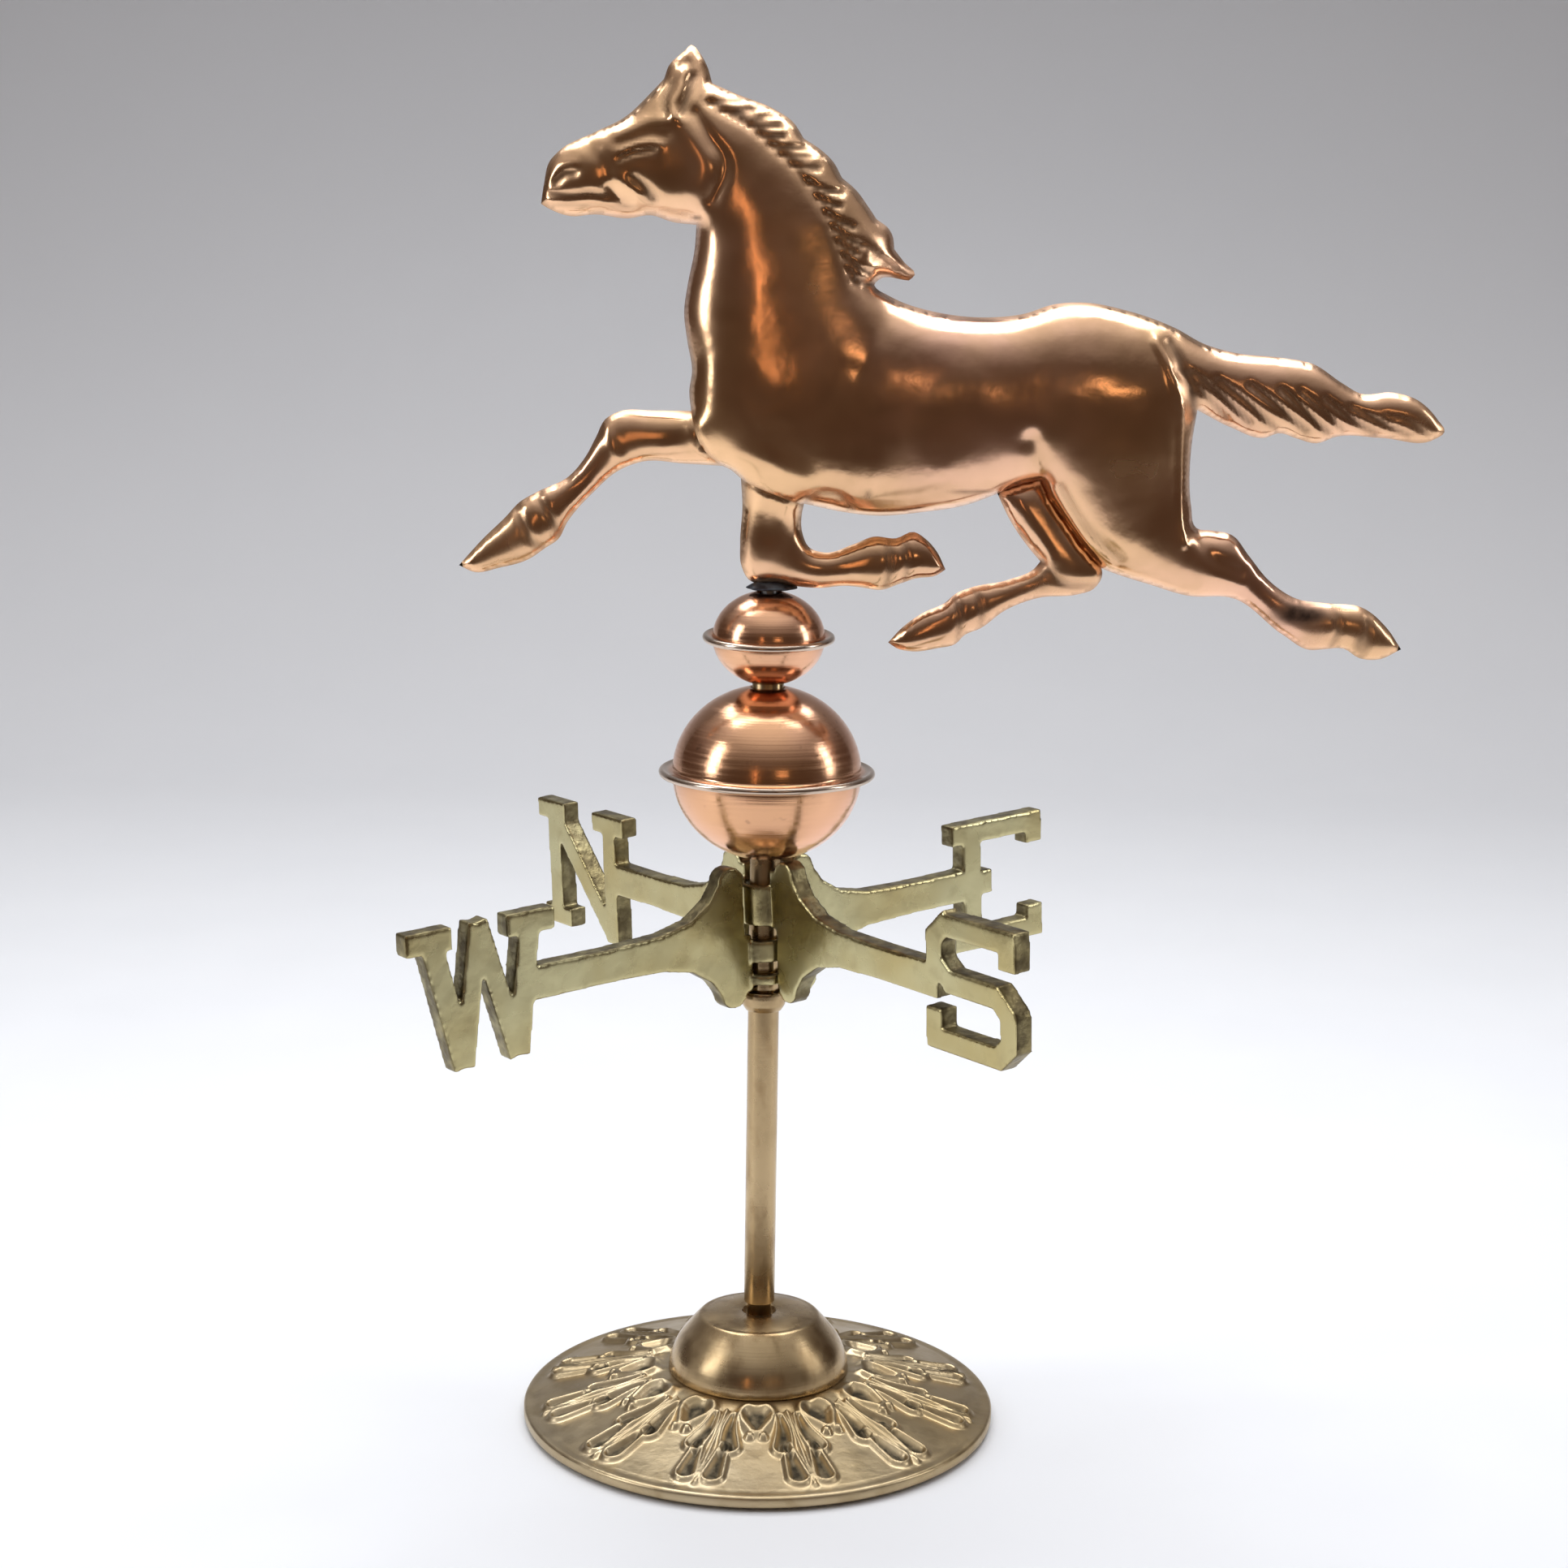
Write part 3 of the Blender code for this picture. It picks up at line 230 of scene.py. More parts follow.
class Paint:
    """A material being built: its node tree and its shader."""

    def __init__(self, name, roughness, metallic=1.0):
        self.material = bpy.data.materials.new(name)
        self.material.use_nodes = True
        self.tree = self.material.node_tree
        self.shader = self.tree.nodes["Principled BSDF"]
        self.shader.inputs["Metallic"].default_value = metallic
        self.shader.inputs["Roughness"].default_value = roughness
        coordinates = self.node("ShaderNodeTexCoord")
        self.place = coordinates.outputs["Object"]
        self.normal = coordinates.outputs["Normal"]

    def node(self, kind, **settings):
        made = self.tree.nodes.new(kind)
        for key, value in settings.items():
            setattr(made, key, value)
        return made

    def join(self, source, target):
        self.tree.links.new(source, target)

    def noise(self, scale, detail=3.0, stretch=(1, 1, 1), distortion=0.0):
        mapping = self.node("ShaderNodeMapping")
        mapping.inputs["Scale"].default_value = stretch
        self.join(self.place, mapping.inputs["Vector"])
        made = self.node("ShaderNodeTexNoise")
        made.inputs["Scale"].default_value = scale
        made.inputs["Detail"].default_value = detail
        made.inputs["Distortion"].default_value = distortion
        self.join(mapping.outputs["Vector"], made.inputs["Vector"])
        return made.outputs["Fac"]

    def remap(self, value, low, high, to_low=0.0, to_high=1.0):
        made = self.node("ShaderNodeMapRange")
        self.join(value, made.inputs["Value"])
        limits = {"From Min": low, "From Max": high, "To Min": to_low, "To Max": to_high}
        for key, number in limits.items():
            made.inputs[key].default_value = number
        return made.outputs["Result"]

    def maths(self, operation, first, second):
        made = self.node("ShaderNodeMath", operation=operation)
        for slot, value in enumerate((first, second)):
            if isinstance(value, (int, float)):
                made.inputs[slot].default_value = value
            else:
                self.join(value, made.inputs[slot])
        return made.outputs[0]

    def mix(self, factor, first, second):
        made = self.node("ShaderNodeMix", data_type="RGBA")
        self.join(factor, made.inputs["Factor"])
        for key, value in ((6, first), (7, second)):
            if isinstance(value, tuple):
                made.inputs[key].default_value = (*value, 1.0)
            else:
                self.join(value, made.inputs[key])
        return made.outputs[2]

    def side_wall(self, direction):
        """0 on faces that look along a direction, 1 on faces that stand along it."""
        turned = self.node("ShaderNodeVectorMath", operation="DOT_PRODUCT")
        self.join(self.normal, turned.inputs[0])
        turned.inputs[1].default_value = tuple(direction)
        return self.remap(self.maths("ABSOLUTE", turned.outputs["Value"], 0.0), 0.85, 0.5)

    def attribute(self, name):
        return self.node("ShaderNodeAttribute", attribute_name=name).outputs["Fac"]

    def bump(self, height, distance, strength=1.0, before=None):
        made = self.node("ShaderNodeBump")
        made.inputs["Distance"].default_value = distance
        made.inputs["Strength"].default_value = strength
        self.join(height, made.inputs["Height"])
        if before is not None:
            self.join(before, made.inputs["Normal"])
        return made.outputs["Normal"]

    def finish(self, colour, roughness=None, normal=None):
        self.join(colour, self.shader.inputs["Base Color"])
        for key, value in (("Roughness", roughness), ("Normal", normal)):
            if value is not None:
                self.join(value, self.shader.inputs[key])
        return self.material


# Materials

def polished_copper():
    paint = Paint("polished_copper", 0.2)
    broad = paint.remap(paint.noise(9.0, 3.0), 0.35, 0.65)
    mottle = paint.remap(paint.noise(55.0, 5.0, distortion=0.6), 0.42, 0.68)
    warm = paint.mix(broad, (0.92, 0.55, 0.385), (0.89, 0.56, 0.30))
    clean = paint.mix(paint.maths("MULTIPLY", mottle, 0.4), warm, (0.66, 0.40, 0.21))
    dirt = paint.attribute("tone_mask")
    grime = paint.maths("MULTIPLY", dirt, paint.remap(paint.noise(190.0, 4.0), 0.25, 0.6,
                                                      0.75, 1.0))
    colour = paint.mix(grime, clean, (0.07, 0.045, 0.035))
    smear = paint.remap(paint.noise(26.0, 6.0, distortion=0.8), 0.35, 0.75, 0.15, 0.30)
    roughness = paint.maths("ADD", smear, paint.maths("MULTIPLY", dirt, 0.3))
    dents = paint.bump(paint.noise(20.0, 2.0), 0.0040, 0.6)
    ripple = paint.bump(paint.noise(60.0, 2.0), 0.0007, 0.5, dents)
    pits = paint.bump(paint.noise(700.0, 2.0), 0.00004, 0.5, ripple)
    return paint.finish(colour, roughness, pits)


def spun_copper():
    paint = Paint("spun_copper", 0.2)
    broad = paint.remap(paint.noise(18.0, 3.0), 0.35, 0.65)
    rings = paint.noise(9.0, 5.0, stretch=(1.0, 1.0, 95.0))
    clean = paint.mix(broad, (0.83, 0.46, 0.31), (0.77, 0.43, 0.24))
    # The flange and its bead are paler than the rest of the globe.
    flange_paled = paint.mix(paint.attribute("tone_mask"), clean, (0.60, 0.50, 0.41))
    spots = paint.remap(paint.noise(240.0, 3.0), 0.66, 0.76)
    colour = paint.mix(paint.maths("MULTIPLY", spots, 0.4), flange_paled, (0.30, 0.16, 0.10))
    roughness = paint.remap(rings, 0.3, 0.7, 0.13, 0.27)
    brushed = paint.bump(rings, 0.00012, 0.55)
    scratches = paint.noise(55.0, 3.0, stretch=(9.0, 9.0, 0.9))
    return paint.finish(colour, roughness, paint.bump(scratches, 0.00006, 0.5, brushed))


def cast_brass(name, face_direction):
    """Satin brass, clean on the flat faces; the side walls are pitted and rougher, and darkened
    with painted shade.
    """
    paint = Paint(name, 0.3)
    broad = paint.remap(paint.noise(22.0, 3.0), 0.35, 0.65)
    clean = paint.mix(broad, (0.56, 0.51, 0.29), (0.50, 0.41, 0.19))
    blotch = paint.remap(paint.noise(110.0, 5.0, distortion=0.3), 0.55, 0.80)
    aged = paint.mix(paint.maths("MULTIPLY", blotch, 0.4), clean, (0.26, 0.20, 0.10))
    wall = paint.side_wall(face_direction)
    patchy = paint.remap(paint.noise(160.0, 4.0), 0.25, 0.60, 0.35, 0.92)
    # Painted shade: the side walls are darkened in colour, in patches.
    painted_wall_shade = paint.maths("MULTIPLY", wall, patchy)
    colour = paint.mix(painted_wall_shade, aged, (0.11, 0.085, 0.045))
    smear = paint.remap(paint.noise(60.0, 4.0), 0.3, 0.7, 0.20, 0.34)
    roughness = paint.maths("ADD", smear, paint.maths("MULTIPLY", wall, 0.14))
    uneven = paint.bump(paint.noise(45.0, 2.0), 0.0010, 0.5)
    grain = paint.bump(paint.noise(420.0, 4.0), 0.00008, 0.5, uneven)
    pitted = paint.maths("MULTIPLY", paint.noise(330.0, 3.0), wall)
    return paint.finish(colour, roughness, paint.bump(pitted, 0.0006, 0.6, grain))


def base_brass():
    paint = Paint("base_brass", 0.3)
    broad = paint.remap(paint.noise(16.0, 4.0), 0.35, 0.65)
    clean = paint.mix(broad, (0.52, 0.42, 0.27), (0.44, 0.33, 0.18))
    blotch = paint.remap(paint.noise(95.0, 6.0, distortion=0.4), 0.5, 0.75)
    aged = paint.mix(paint.maths("MULTIPLY", blotch, 0.5), clean, (0.26, 0.18, 0.08))
    dirt = paint.maths("MULTIPLY", paint.attribute("tone_mask"),
                       paint.remap(paint.noise(210.0, 4.0), 0.25, 0.6, 0.55, 1.0))
    colour = paint.mix(dirt, aged, (0.055, 0.045, 0.03))
    smear = paint.remap(paint.noise(60.0, 5.0), 0.3, 0.7, 0.27, 0.42)
    roughness = paint.maths("ADD", smear, paint.maths("MULTIPLY", dirt, 0.3))
    uneven = paint.bump(paint.noise(90.0, 4.0), 0.0007, 0.5)
    return paint.finish(colour, roughness, paint.bump(paint.noise(600.0, 3.0), 0.00008, 0.5,
                                                      uneven))


def turned_brass():
    paint = Paint("turned_brass", 0.25)
    broad = paint.remap(paint.noise(40.0, 5.0, stretch=(1, 1, 0.35)), 0.35, 0.65)
    clean = paint.mix(broad, (0.53, 0.39, 0.22), (0.42, 0.30, 0.16))
    blotch = paint.remap(paint.noise(150.0, 6.0, stretch=(1, 1, 0.5)), 0.5, 0.72)
    colour = paint.mix(paint.maths("MULTIPLY", blotch, 0.6), clean, (0.27, 0.17, 0.08))
    roughness = paint.remap(paint.noise(70.0, 5.0), 0.3, 0.7, 0.17, 0.38)
    lines = paint.noise(6.0, 4.0, stretch=(1.0, 1.0, 160.0))
    return paint.finish(colour, roughness, paint.bump(lines, 0.00008, 0.5))


def plain_steel():
    paint = Paint("plain_steel", 0.3)
    colour = paint.mix(paint.noise(90.0, 4.0), (0.52, 0.52, 0.53), (0.40, 0.39, 0.38))
    lines = paint.noise(8.0, 4.0, stretch=(1.0, 1.0, 120.0))
    roughness = paint.remap(lines, 0.3, 0.7, 0.24, 0.42)
    return paint.finish(colour, roughness, paint.bump(lines, 0.00006, 0.5))


def grey_solder():
    paint = Paint("grey_solder", 0.5, metallic=0.8)
    colour = paint.mix(paint.remap(paint.noise(260.0, 4.0), 0.4, 0.6), (0.13, 0.15, 0.17),
                       (0.05, 0.05, 0.06))
    roughness = paint.remap(paint.noise(300.0, 3.0), 0.3, 0.7, 0.36, 0.62)
    return paint.finish(colour, roughness, paint.bump(paint.noise(330.0, 3.0), 0.0005, 0.7))


def dark_felt():
    paint = Paint("dark_felt", 0.95, metallic=0.0)
    colour = paint.mix(paint.noise(900.0, 4.0), (0.035, 0.04, 0.035), (0.09, 0.09, 0.08))
    return paint.finish(colour, None, paint.bump(paint.noise(1400.0, 4.0), 0.0003, 0.8))


def white_table():
    paint = Paint("white_table", 0.45, metallic=0.0)
    level = paint.node("ShaderNodeSeparateXYZ")
    paint.join(paint.place, level.inputs["Vector"])
    shade = paint.remap(level.outputs["Z"], 0.0, 0.85)
    pale = paint.mix(paint.noise(9.0, 4.0), (0.86, 0.87, 0.89), (0.89, 0.895, 0.91))
    colour = paint.mix(shade, pale, (0.64, 0.642, 0.652))
    return paint.finish(colour, paint.remap(paint.noise(14.0, 3.0), 0.3, 0.7, 0.42, 0.52))


# Mesh helpers

def add_piece(name, points, faces, material, body, replaces, tone_mask=None):
    """A smooth mesh that rides on a body and stands for CAD nodes."""
    mesh = bpy.data.meshes.new(name)
    mesh.from_pydata([tuple(point) for point in points], [], faces)
    if tone_mask is not None:
        layer = mesh.attributes.new("tone_mask", "FLOAT", "POINT")
        layer.data.foreach_set("value", np.asarray(tone_mask, dtype=np.float32))
    bm = bmesh.new()
    bm.from_mesh(mesh)
    bmesh.ops.remove_doubles(bm, verts=bm.verts, dist=1e-7)
    bmesh.ops.recalc_face_normals(bm, faces=bm.faces)
    bm.to_mesh(mesh)
    bm.free()
    mesh.shade_smooth()
    mesh.materials.append(material)
    obj = bpy.data.objects.new(name, mesh)
    bpy.context.scene.collection.objects.link(obj)
    bpy.context.view_layer.update()
    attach(obj, body)
    if replaces:
        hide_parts(*replaces)
    return obj


def revolved(profile, steps, height=None):
    """Points and faces of a closed (radius, z) profile in mm; height(r, angle) lifts points."""
    profile = np.array(profile, dtype=float)
    angles = np.linspace(0.0, 2.0 * math.pi, steps, endpoint=False)
    radius = np.tile(profile[:, 0], steps)
    level = np.tile(profile[:, 1], steps)
    turn = np.repeat(angles, len(profile))
    if height is not None:
        level = level + height(radius, turn)
    points = np.stack([radius * np.cos(turn), radius * np.sin(turn), level], axis=1)
    count = len(profile)
    faces = []
    for step in range(steps):
        here = step * count
        there = ((step + 1) % steps) * count
        for index in range(count):
            after = (index + 1) % count
            faces.append((here + index, there + index, there + after, here + after))
    return points * MM, faces


def rounded(profile, radius, steps):
    """Round every corner of a closed profile by up to radius millimetres."""
    corners = [Vector(point) for point in profile]
    result = []
    for index, corner in enumerate(corners):
        before = corners[index - 1] - corner
        after = corners[(index + 1) % len(corners)] - corner
        cut = min(radius, 0.45 * before.length, 0.45 * after.length)
        start = corner + before.normalized() * cut
        end = corner + after.normalized() * cut
        for step in range(steps + 1):
            t = step / steps
            result.append(tuple(start * (1 - t) ** 2 + corner * 2 * t * (1 - t)
                                + end * t ** 2))
    return result


# Horse

def smooth_outline(marked):
    """A closed line in millimetres, smooth except at its marked corners."""
    anchors = [Vector(item[:2]) for item in marked]
    corners = [len(item) == 3 for item in marked]
    count = len(anchors)
    points = []
    for index in range(count):
        start = anchors[index]
        end = anchors[(index + 1) % count]
        chord = end - start
        start_turn = chord
        end_turn = chord
        if not corners[index]:
            start_turn = spline_slope(anchors[index - 1], start, end)
        if not corners[(index + 1) % count]:
            end_turn = spline_slope(start, end, anchors[(index + 2) % count])
        first = start_turn.normalized() * chord.length
        second = end_turn.normalized() * chord.length
        steps = max(1, round(chord.length / OUTLINE_STEP))
        for step in range(steps):
            t = step / steps
            points.append(start * (2 * t ** 3 - 3 * t ** 2 + 1)
                          + first * (t ** 3 - 2 * t ** 2 + t)
                          + end * (-2 * t ** 3 + 3 * t ** 2) + second * (t ** 3 - t ** 2))
    return np.array([tuple(point) for point in points])


def spline_slope(before, point, after):
    """Slope at a smooth point, weighted towards the nearer neighbour."""
    first = point - before
    second = after - point
    return first.normalized() * second.length + second.normalized() * first.length


def line_distance(points, line, closed=False):
    """Distance of each point from a line of straight stretches."""
    line = np.asarray(line, dtype=float)
    ends = np.roll(line, -1, axis=0) if closed else line[1:]
    nearest = np.full(len(points), np.inf)
    for start, end in zip(line, ends):
        edge = end - start
        along = np.clip((points - start) @ edge / (edge @ edge), 0.0, 1.0)
        gap = points - start - along[:, None] * edge
        nearest = np.minimum(nearest, np.hypot(gap[:, 0], gap[:, 1]))
    return nearest


def inside(points, loop):
    x = points[:, 0]
    y = points[:, 1]
    result = np.zeros(len(points), dtype=bool)
    for start, end in zip(np.roll(loop, 1, axis=0), loop):
        if start[1] != end[1]:
            crosses = (start[1] > y) != (end[1] > y)
            reach = start[0] + (end[0] - start[0]) * (y - start[1]) / (end[1] - start[1])
            result ^= crosses & (x < reach)
    return result


def hex_grid(loop):
    low = loop.min(axis=0)
    high = loop.max(axis=0)
    row_height = GRID_STEP * math.sqrt(3) / 2
    rows = np.arange(low[1], high[1], row_height)
    grid = []
    for number, y in enumerate(rows):
        x = np.arange(low[0] + (GRID_STEP / 2 if number % 2 else 0.0), high[0], GRID_STEP)
        grid.append(np.stack([x, np.full(len(x), y)], axis=1))
    grid = np.concatenate(grid)
    grid = grid[inside(grid, loop)]
    return grid[line_distance(grid, loop, closed=True) > 0.55 * GRID_STEP]


def triangulate(loops):
    """One sheet of triangles over touching loops: points and a triangle list per loop."""
    points = []
    faces = []
    for loop in loops:
        face = []
        for point in loop:
            twin = len(points)
            if points:
                gaps = np.abs(np.array(points) - point).sum(axis=1)
                if gaps.min() < 0.02:
                    twin = int(gaps.argmin())
            if twin == len(points):
                points.append(point)
            face.append(twin)
        faces.append(face[::-1])
    grid = np.concatenate([hex_grid(loop) for loop in loops])
    scatter = [Vector(point) for point in points] + [Vector(point) for point in grid]
    result = delaunay_2d_cdt(scatter, [], faces, 1, 1e-9)
    sheet = np.array([tuple(point) for point in result[0]])
    triangles = np.array([tuple(triangle) for triangle in result[2]])
    middles = sheet[triangles].mean(axis=1)
    groups = [triangles[inside(middles, loop)] for loop in loops]
    return sheet, groups


def swelling(sheet, triangles):
    """Smooth height that is zero on the open rim and domes inside it."""
    count = len(sheet)
    corner = sheet[triangles]
    edges = np.stack([corner[:, 2] - corner[:, 1], corner[:, 0] - corner[:, 2],
                      corner[:, 1] - corner[:, 0]], axis=1)
    area = np.abs(edges[:, 0, 0] * edges[:, 1, 1] - edges[:, 0, 1] * edges[:, 1, 0]) / 2
    area = np.maximum(area, 1e-6)
    load = np.zeros(count)
    rows, columns, terms = [], [], []
    for row in range(3):
        load += np.bincount(triangles[:, row], area / 3, count)
        for column in range(3):
            rows.append(triangles[:, row])
            columns.append(triangles[:, column])
            terms.append((edges[:, row] * edges[:, column]).sum(axis=1) / (4 * area))
    rows, columns, terms = (np.concatenate(part) for part in (rows, columns, terms))
    sides = np.sort(np.concatenate([triangles[:, [0, 1]], triangles[:, [1, 2]],
                                    triangles[:, [2, 0]]]), axis=1)
    unique, uses = np.unique(sides, axis=0, return_counts=True)
    free = np.ones(count)
    free[unique[uses == 1].ravel()] = 0.0
    diagonal = np.bincount(rows[rows == columns], terms[rows == columns], count)
    scale = free / np.maximum(diagonal, 1e-9)

    solution = np.zeros(count)
    rest = load * free
    search = scale * rest
    energy = rest @ search
    for attempt in range(SOLVER_STEPS):
        pulled = free * np.bincount(rows, terms * search[columns], count)
        step = energy / (search @ pulled)
        solution += step * search
        rest -= step * pulled
        ready = scale * rest
        fresh = rest @ ready
        if fresh < 1e-12 * (load @ load):
            break
        search = ready + (fresh / energy) * search
        energy = fresh
    return np.sqrt(np.maximum(solution, 0.0))


def carved(points, lines):
    """Sum of dents and ridges along lines, as a height and as how deep in a dent it is."""
    height = np.zeros(len(points))
    dirt = np.zeros(len(points))
    for line, width, depth in lines:
        near = np.exp(-(line_distance(points, soften(line)) / width) ** 2)
        height -= depth * near
        if depth > 0:
            dirt = np.maximum(dirt, near * min(1.0, depth / 1.6) * (width < 2.5))
    return height, dirt


def soften(line, steps=5):
    """A smooth line through the given points."""
    anchors = [np.array(point, dtype=float) for point in line]
    if len(anchors) < 3:
        return anchors
    padded = [2 * anchors[0] - anchors[1]] + anchors + [2 * anchors[-1] - anchors[-2]]
    points = []
    for index in range(len(anchors) - 1):
        a, b, c, d = padded[index:index + 4]
        for step in range(steps):
            t = step / steps
            points.append(0.5 * (2 * b + (c - a) * t + (2 * a - 5 * b + 4 * c - d) * t ** 2
                                 + (3 * b - a - 3 * c + d) * t ** 3))
    points.append(anchors[-1])
    return points


def mane_lines():
    """Locks of hair: short dents that leave the mane's edge at a slant."""
    edge = np.array(soften(MANE_EDGE))
    lines = []
    for number in range(MANE_LOCKS):
        place = 0.05 + 0.87 * number / (MANE_LOCKS - 1)
        index = int(place * (len(edge) - 2))
        along = edge[index + 1] - edge[index]
        along = along / np.hypot(*along)
        across = np.array([-along[1], along[0]])
        reach = 8.5 + 2.0 * math.sin(number * 2.3)
        start = edge[index] + across * 0.6
        middle = start + along * reach * 0.5 + across * reach * 0.28
        end = start + along * reach + across * reach * 0.75
        lines.append(([tuple(start), tuple(middle), tuple(end)], 1.1, 1.6))
        start = start + along * 2.4 + across * 0.4
        middle = middle + along * 2.4 + across * 0.4
        lines.append(([tuple(start), tuple(middle)], 0.9, -0.5))
    lines.append(([(38, 478), (46, 474.8), (53.5, 472.2)], 1.2, 0.9))
    lines.append(([(33, 484), (41, 479), (47, 474)], 1.0, 0.8))
    return lines


def mane_step(points):
    """The mane stands a little proud of the neck, with a round edge."""
    edge = soften(MANE_EDGE)
    crest = [tuple(item[:2]) for item in HEAD_AND_MANE[MANE_FIRST_POINT:]]
    patch = np.array([tuple(point) for point in edge] + crest[::-1])
    gap = line_distance(points, edge)
    side = np.where(inside(points, patch), 1.0, -1.0)
    return 1.2 * np.tanh(side * gap / 1.3) * (side > 0) - 0.7 * np.exp(-(gap / 1.6) ** 2)


def spots(points):
    dirt = np.zeros(len(points))
    for centre, size, strength in DARK_SPOTS:
        gap = (points - np.array(centre)) / np.array(size)
        dirt = np.maximum(dirt, strength * np.exp(-((gap ** 2).sum(axis=1) ** 2)))
    return dirt


def build_horse_pieces(names, loops, lines, copper):
    sheet, groups = triangulate(loops)
    rise = swelling(sheet, np.concatenate(groups))
    rise = GIRTH_LIMIT * np.tanh(GIRTH_GROWTH * rise / GIRTH_LIMIT)
    carving, dirt = carved(sheet, lines)
    if "horse_body" in names:
        carving = carving + mane_step(sheet)
    allowed = np.clip(rise / EDGE_ZONE, 0.0, 1.0)
    outward = np.maximum(rise + carving * allowed, 0.25 * rise)
    rim_dirt = 0.5 * np.exp(-(rise / 1.0) ** 2)
    dirt = np.maximum(np.maximum(dirt * 0.75, rim_dirt), spots(sheet))
    for name, group in zip(names, groups):
        for side, sign in (("near", -1.0), ("far", 1.0)):
            used = np.unique(group)
            place = np.zeros(len(sheet), dtype=int)
            place[used] = np.arange(len(used))
            points = np.stack([sheet[used, 0], sign * outward[used], sheet[used, 1]], axis=1)
            faces = place[group]
            if sign > 0:
                faces = faces[:, ::-1]
            node = f"{name}_{side}"
            add_piece(node + "_skin", points * MM, faces.tolist(), copper, "vane",
                      [node], dirt[used])


def build_horse(copper):
    body = (HEAD_AND_MANE + BACK_AND_TAIL + NEAR_HIND_LEG + BELLY + FOLD_JOINT + BREAST
            + REACH_JOINT + CHEST_AND_JAW)
    reach = FORELEG_REACH + REACH_JOINT
    fold = FORELEG_FOLD + FOLD_JOINT
    loops = [smooth_outline(line) for line in (body, reach, fold)]
    lines = HEAD_LINES + TAIL_LINES + BODY_LINES + mane_lines()
    build_horse_pieces(["horse_body", "foreleg_reach", "foreleg_fold"], loops, lines, copper)
    build_horse_pieces(["hind_leg"], [smooth_outline(FAR_HIND_LEG)], HIND_LINES, copper)


# Globes

def build_globe(name, copper, centre, radius, half_height, flange, tilt, holes):
    """Two spun halves that meet at a rolled flange; tilt is about the X axis."""
    for part, sign, hole in (("upper", 1.0, holes[1]), ("lower", -1.0, holes[0])):
        crown = math.acos(hole / radius)
        angles = np.linspace(0.035, crown, 40)
        outer = [(radius * math.cos(a), half_height * math.sin(a)) for a in angles]
        inner = [((radius - GLOBE_WALL) * math.cos(a), (half_height - GLOBE_WALL) * math.sin(a))
                 for a in angles[::-1]]
        if sign > 0:
            bead = [(flange - 2.4, 0.15), (flange - 1.4, 0.15), (flange - 1.4, -0.9)]
            for step in range(13):
                a = -2.2 + 4.4 * step / 12
                bead.append((flange - 1.4 + 1.4 * math.cos(a), 0.1 + 1.45 * math.sin(a)))
            lip = bead + [(flange - 3.0, 1.05), (radius + 1.0, 1.05), (radius + 0.25, 1.3)]
        else:
            lip = [(flange - 1.7, 0.15), (flange - 1.7, 1.05), (radius + 1.0, 1.05),
                   (radius + 0.25, 1.3)]
        rim = [(radius - GLOBE_WALL, 0.15)]
        profile = np.array(rim + lip + outer + inner)
        profile[:, 1] *= sign
        points, faces = revolved(profile, GLOBE_STEPS)
        # Paler colour on the flange and its bead, rising outward from the globe's body.
        pale = np.clip((np.hypot(points[:, 0], points[:, 1]) / MM - radius - 0.6) / 2.0, 0, 0.9)
        cos, sin = math.cos(tilt), math.sin(tilt)
        y = points[:, 1] * cos - points[:, 2] * sin
        z = points[:, 1] * sin + points[:, 2] * cos
        points = np.stack([points[:, 0], y, z + centre * MM], axis=1)
        add_piece(f"{name}_{part}_skin", points, faces, copper, name,
                  [f"{name}_{part}"], pale)


# Stand

def lobe_gap(points, line, root, tip):
    """Distance outside a lobe that widens from its root to its tip; negative inside it."""
    line = soften(line, 4)
    stretches = len(line) - 1
    nearest = np.full(len(points), np.inf)
    for number in range(stretches):
        start = line[number]
        edge = line[number + 1] - start
        along = np.clip((points - start) @ edge / (edge @ edge), 0.0, 1.0)
        gap = points - start - along[:, None] * edge
        width = root + (tip - root) * (number + along) / stretches
        nearest = np.minimum(nearest, np.hypot(gap[:, 0], gap[:, 1]) - width)
    return nearest


def leaf_relief(radius, turn):
    """Raised leaves round the dish, as a height and as how deep in a hollow it is."""
    sector = 2.0 * math.pi / LEAF_REPEATS
    local = (turn + sector / 2) % sector - sector / 2
    folded = np.stack([np.abs(radius * np.sin(local)), radius * np.cos(local)], axis=1)
    height = np.zeros(len(radius))
    hollow = np.zeros(len(radius))
    for line, root, tip in LEAF_LOBES:
        gap = lobe_gap(folded, line, root, tip)
        height = np.maximum(height, 1.9 * np.exp(-((gap - 1.1) / 1.1) ** 2))
        hollow = np.maximum(hollow, np.clip(-gap / 1.2, 0.0, 1.0))
    gap = lobe_gap(folded, *TEARDROP)
    height = np.maximum(height, 2.3 * np.exp(-((gap - 2.6) / 2.0) ** 2))
    hollow = np.maximum(hollow, np.clip(-gap / 1.2, 0.0, 1.0))
    knob = np.hypot(folded[:, 0] - TEARDROP_KNOB[0], folded[:, 1] - TEARDROP_KNOB[1])
    height = np.maximum(height, 2.4 * np.exp(-(knob / 2.0) ** 4))
    rib = np.abs(folded[:, 0] * math.cos(sector / 2) - folded[:, 1] * math.sin(sector / 2))
    rib_length = (radius > LEAF_RIB[0]) & (radius < LEAF_RIB[1])
    height = np.maximum(height, 1.7 * np.exp(-(rib / 1.1) ** 2) * rib_length)
    inner_edge = 1.0 / (1.0 + np.exp(-(radius - 41.0) / 0.6))
    outer_edge = 1.0 / (1.0 + np.exp((radius - 92.0) / 0.5))
    return (height - 0.8 * hollow) * inner_edge * outer_edge, hollow * inner_edge


